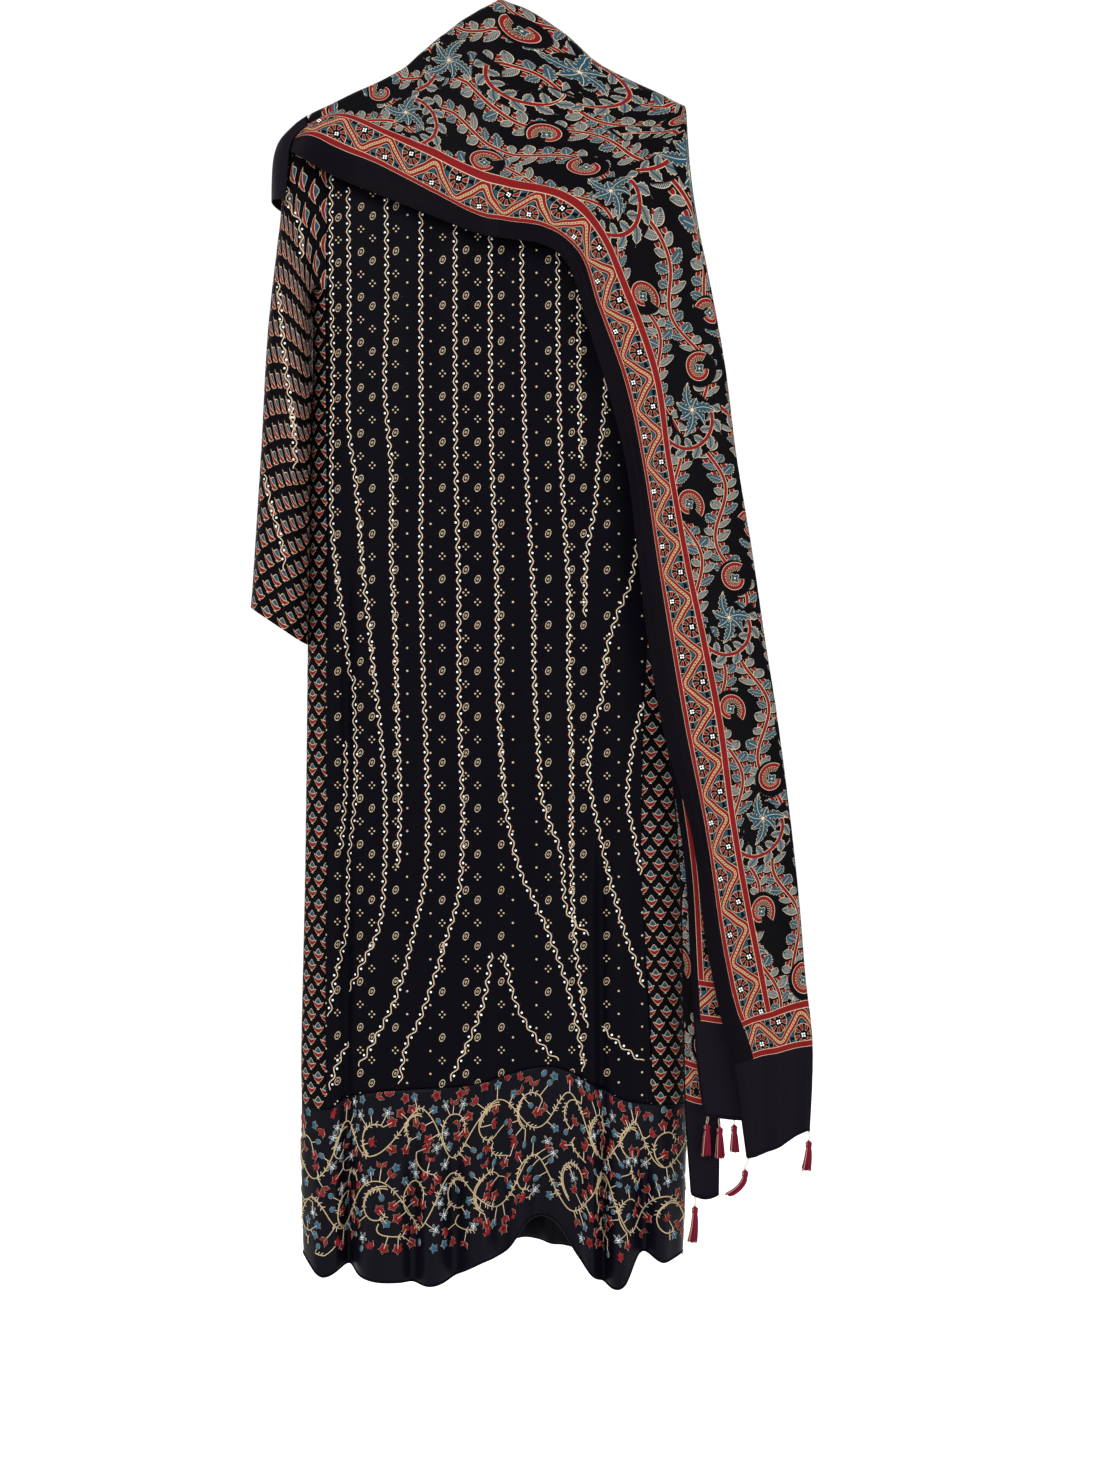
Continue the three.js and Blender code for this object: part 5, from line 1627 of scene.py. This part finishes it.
def lay_line(line, place, bed, tall_at, lift, length):
    """The stretches of a flat line that are on the band, laid on it."""
    old, new = np.linspace(0, 1, len(line)), np.linspace(0, 1, len(line) * 2)
    fine = np.stack([np.interp(new, old, line[:, k]) for k in (0, 1)], -1)
    inside = (fine[:, 0] > 1) & (fine[:, 0] < length - 1) & (fine[:, 1] > 1.5)
    inside &= fine[:, 1] < tall_at(fine[:, 0]) - PLAIN_HEM
    stretches, now = [], []
    for point, good in zip(fine, inside):
        if good:
            now.append(point)
        elif now:
            stretches.append(now)
            now = []
    stretches.append(now)
    laid = []
    for stretch in stretches:
        if len(stretch) > 2:
            flat = np.array(stretch)
            laid.append([bed.nearest(p, lift) for p in place(flat[:, 0], flat[:, 1])])
    return laid


def hem_work(side, piece, name, seed):
    """Vines, ticks, petals and beads of one length of the hem band."""
    rng = np.random.default_rng(seed)
    place, length, tall_at = band_map(side)
    bed = Bed(piece)
    thick = vine_lines(length, rng)
    thin = [tick for line in thick for tick in tick_lines(line, rng)]
    flowers = Flowers()
    stems = sow(flowers, length, tall_at, thick, rng)
    cords = [laid for line in thick for laid in lay_line(line, place, bed, tall_at, 0.6, length)]
    ticks = [laid for line in thin + stems for laid in lay_line(line, place, bed, tall_at, 0.4, length)]
    made = [cord_piece(name + "_vines", cords, VINE_RADIUS, GOLD_THREAD, "printed_silk"),
            cord_piece(name + "_ticks", ticks, TICK_RADIUS, CREAM_THREAD, "printed_silk")]
    finishes = {"cream": CREAM_THREAD, "red": RED_THREAD, "blue": BLUE_THREAD, "silver": SILVER_BEAD}
    for colour, bm in flowers.beds.items():
        flat = np.array([tuple(v.co) for v in bm.verts])
        seats = place(flat[:, 0], flat[:, 1])
        for vert, seat, high in zip(bm.verts, seats, flat[:, 2]):
            vert.co = bed.nearest(seat, high) / 1000
        made.append(dress(put(f"{name}_{colour}_work", bm), finishes[colour], "printed_silk"))
    return made


hem_front_work = hem_work(-1, CLOTHS["hem_band_front_satin"], "hem_front", 31)
hem_back_work = hem_work(1, CLOTHS["hem_band_back_satin"], "hem_back", 37)


# Sequin flowers of the dupatta border: places across its print and up from its foot

END_FLOWERS = [(58, 112), (87, 130), (116, 112)]
FIRST_SIDE_FLOWERS = ((68, 145), (50, 174))
LAST_FLOWER_ROOM = 12
FLOWER_RADIUS = 1.7
FLOWER_SEQUIN = 1.15
FLOWER_LIFT = 0.55
EIGHTH_TURN = 0.785
QUARTER_TURN = 1.571


def sequin_flowers(centres):
    """Four sequins round each centre on the dupatta's front."""
    matrices = []
    for u, v in centres:
        at, level = np.array(u), np.array(v)
        point = dupatta_front(at, level)
        normal = Vector(normals_of(dupatta_front, at, level))
        side = Vector(dupatta_front(at + 0.004, level) - point).normalized()
        up = normal.cross(side)
        for k in range(4):
            way = EIGHTH_TURN + k * QUARTER_TURN
            out = side * math.cos(way) + up * math.sin(way)
            seat = Vector(point) + out * FLOWER_RADIUS + normal * FLOWER_LIFT
            matrices.append(standing(seat, normal, FLOWER_SEQUIN))
    return stamped("border_sequins", SEQUIN_STAMP, matrices, SEQUIN, "dupatta_silk")


def border_centres():
    """Centres of the petals, up the border and across its end, as u and v."""
    v_at, lengths = run_lengths(dupatta_front, BORDER_MIDDLE)
    places = list(END_FLOWERS)
    for across, first in FIRST_SIDE_FLOWERS:
        places += [(across, down) for down in np.arange(first, lengths[-1] - LAST_FLOWER_ROOM, BAY)]
    return [front_place(across, float(np.interp(down, lengths, v_at))) for across, down in places]


def front_place(across, v):
    """u and v of the place that lies so many millimetres across the dupatta's print."""
    u = np.linspace(0, 1, 200)
    printed = dupatta_marks(u, np.full_like(u, v), None)[0]
    return float(np.interp(across, printed, u)), v


shawl_sequins = sequin_flowers(border_centres())


# Tassels and hanger

STRANDS = 58
CREAM_STRANDS = (10, 33, 51, 54)
STRAND = 0.6
PALE_STRAND = 0.42
STRAND_TURN = 2.4
STRAND_STOPS = (0.25, 0.45, 0.65, 0.82, 1)
TIE = 2.9
TIE_DROP = 3.6
TIE_RISE = 0.12


def tassel(name, top, swing, thread_length, length, curl, seed):
    """A loop of thread, a tied head and a skirt of strands that may curl to one side."""
    rng = np.random.default_rng(seed)
    x, y, z = top
    head = z - thread_length - 3
    hx = x + swing * 0.5
    loop = [
        [(x + s * 0.5, y, z + 1.6), (x + s * 0.9 + swing * 0.1, y, z - thread_length * 0.3),
         (hx + s * 0.8, y, z - thread_length * 0.75), (hx, y, head)]
        for s in (-1, 1)
    ]
    red, cream = [], []
    for k in range(STRANDS):
        angle = k * STRAND_TURN
        ring = math.sqrt((k + 0.5) / STRANDS)
        dx, dy = math.cos(angle) * ring, math.sin(angle) * ring
        drop = length * rng.uniform(0.9, 1.0) - TIE_DROP
        lean = swing * 0.4 + rng.uniform(-0.5, 0.5)
        strand = [(hx + dx, y + dy, head + 3.4 - ring), (hx + dx * 3.2, y + dy * 3.2, head + 0.4),
                  (hx + dx * 2.3, y + dy * 2.3, head - TIE_DROP)]
        for t in STRAND_STOPS:
            bow = curl * t * t
            spread = 2.8 + 2.3 * t
            fall = drop * (t - 0.22 * abs(curl) / 20 * t * t)
            strand.append((hx + dx * spread + lean * t + bow, y + dy * spread, head - TIE_DROP - fall))
        (cream if k in CREAM_STRANDS else red).append(strand)
    tie = [(hx + TIE * math.cos(a), y + TIE * math.sin(a), head - TIE_DROP + TIE_RISE * a)
           for a in np.linspace(0, 12.6, 26)]
    skirt = cord_piece(name + "_strands", [*red, tie], STRAND, MAROON_THREAD, "tassel_thread")
    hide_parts(name)
    pale = cord_piece(name + "_thread", loop + cream, PALE_STRAND, TASSEL_CREAM, "tassel_thread")
    return [skirt, pale]


FALLS = {"front": dupatta_front, "second": second_fall, "third": third_fall}
CURLS = {"tassel_end_left": -13, "tassel_third_fall": -3, "tassel_end_right": -2}
tassel_pieces = {source: [] for source in FALLS}
for seed, (name, source, across, swing, thread_length, length) in enumerate(TASSELS):
    x, y, z = FALLS[source](np.array(across), np.array(0.0))
    top = (float(x), float(y) + WALL / 2, float(z) - 2 * SEAM)
    tassel_pieces[source] += tassel(name, top, swing, thread_length, length, CURLS.get(name, 0), seed)


def hanger_piece():
    """Arms and bar as one ring, the hook, and the rounded ends of its wire."""
    arms = [(x, 0, float(arm_z(x)) - (2 if abs(x) == ARM_TIP else 0))
            for x in (-ARM_TIP, -168, -140, -102, -61, -25, 0, 25, 61, 102, 140, 168, ARM_TIP)]
    arms += [(x, 0, BAR_Z + up) for x, up in (
        (ARM_TIP - 3, 14), (ARM_TIP - 26, 0), (0, 0), (26 - ARM_TIP, 0), (3 - ARM_TIP, 14))]
    ring = smooth_line(arms, closed=True, count=220)
    centre = HOOK_WIRE - HOOK_RADIUS
    hook = [(0, 0, float(arm_z(0))), (0, 0, centre - HOOK_RADIUS - 14)]
    hook += [(HOOK_RADIUS * math.cos(math.radians(d)), 0, centre + HOOK_RADIUS * math.sin(math.radians(d)))
             for d in (-40, 0, 40, 90, 140, 190)]
    hook = smooth_line(hook, count=110)
    bm = bmesh.new()
    for line, radius in ((ring, ARM_RADIUS), (hook, HOOK_WIRE)):
        rod = cord_piece("rod", [line], radius, PLASTIC, "blue_plastic", sides=4)
        bm.from_mesh(rod.data)
        bpy.data.objects.remove(rod)
    for place, size in ((hook[-1], HOOK_WIRE * 1.15), ((0, 0, float(arm_z(0)) + 5.5), HOOK_WIRE * 1.9)):
        bmesh.ops.create_uvsphere(bm, u_segments=20, v_segments=12, radius=size / 1000,
                                  matrix=Matrix.Translation(Vector(place) / 1000))
    dress(put("hanger_frame", bm), PLASTIC, "blue_plastic", ["hanger"])


hanger_piece()


# Rolled hems along free edges

def edge_line(surface, edge, count=240):
    t = np.linspace(0.002, 0.998, count)
    low = np.full(count, 0.002)
    return surface(t, low) if edge == "foot" else surface(low, t)


HEMS = {
    name: cord_piece(name, [edge_line(surface, edge) for edge in edges], radius, EDGE, slot)
    for name, surface, edges, radius, slot in (
        ("dupatta_front_hem", dupatta_front, ("left", "foot"), 0.95, "dupatta_silk"),
        ("dupatta_second_hem", second_fall, ("left", "foot"), 0.8, "dupatta_silk"),
        ("dupatta_third_hem", third_fall, ("left", "foot"), 0.8, "dupatta_silk"),
        ("kurta_front_hem", band(-1), ("foot",), 1.0, "band_silk"),
        ("kurta_back_hem", band(1), ("foot",), 1.0, "band_silk"),
    )
}


# Camera, light and floor

LENS = 50
SENSOR = 36
CAMERA_AT = (0.0525, -2.179, -0.8557)
FLOOR_Z = -1.72
SKY_STRENGTH = 1.05


def photo_view():
    data = bpy.data.cameras.new("camera")
    data.lens = LENS
    data.sensor_width = SENSOR
    camera = add_object("camera", data)
    camera.location = CAMERA_AT
    camera.rotation_euler = (math.pi / 2, 0, 0)
    bpy.context.scene.camera = camera


def soft_light(name, place, target, size, power):
    data = bpy.data.lights.new(name, "AREA")
    data.shape = "RECTANGLE"
    data.size, data.size_y = size
    data.energy = power
    lamp = add_object(name, data)
    lamp.location = place
    lamp.rotation_euler = (Vector(target) - Vector(place)).to_track_quat("-Z", "Y").to_euler()


def pale_room():
    material, _, shader = new_material("pale floor")
    set_shader(shader, Base_Color=(0.97, 0.97, 0.965, 1), Roughness=0.9)
    bm = bmesh.new()
    bmesh.ops.create_grid(bm, x_segments=1, y_segments=1, size=6)
    bmesh.ops.translate(bm, verts=bm.verts, vec=(0, 0, FLOOR_Z))
    floor = put("floor", bm)
    floor.data.materials.append(material)


photo_view()
pale_room()
soft_light("key", (-1.6, -2.6, 0.9), (0.05, 0, -0.7), (1.8, 2.4), 75)
soft_light("fill", (2.2, -2.4, -0.2), (0.05, 0, -0.8), (1.6, 2.4), 45)
soft_light("back", (0.4, 2.4, 0.6), (0.05, 0, -0.8), (2.4, 2.0), 50)
world = bpy.data.worlds.new("studio")
world.use_nodes = True
sky = world.node_tree.nodes["Background"]
sky.inputs["Color"].default_value = (1, 1, 1, 1)
sky.inputs["Strength"].default_value = SKY_STRENGTH
bpy.context.scene.world = world
bpy.context.scene.view_settings.view_transform = "Standard"
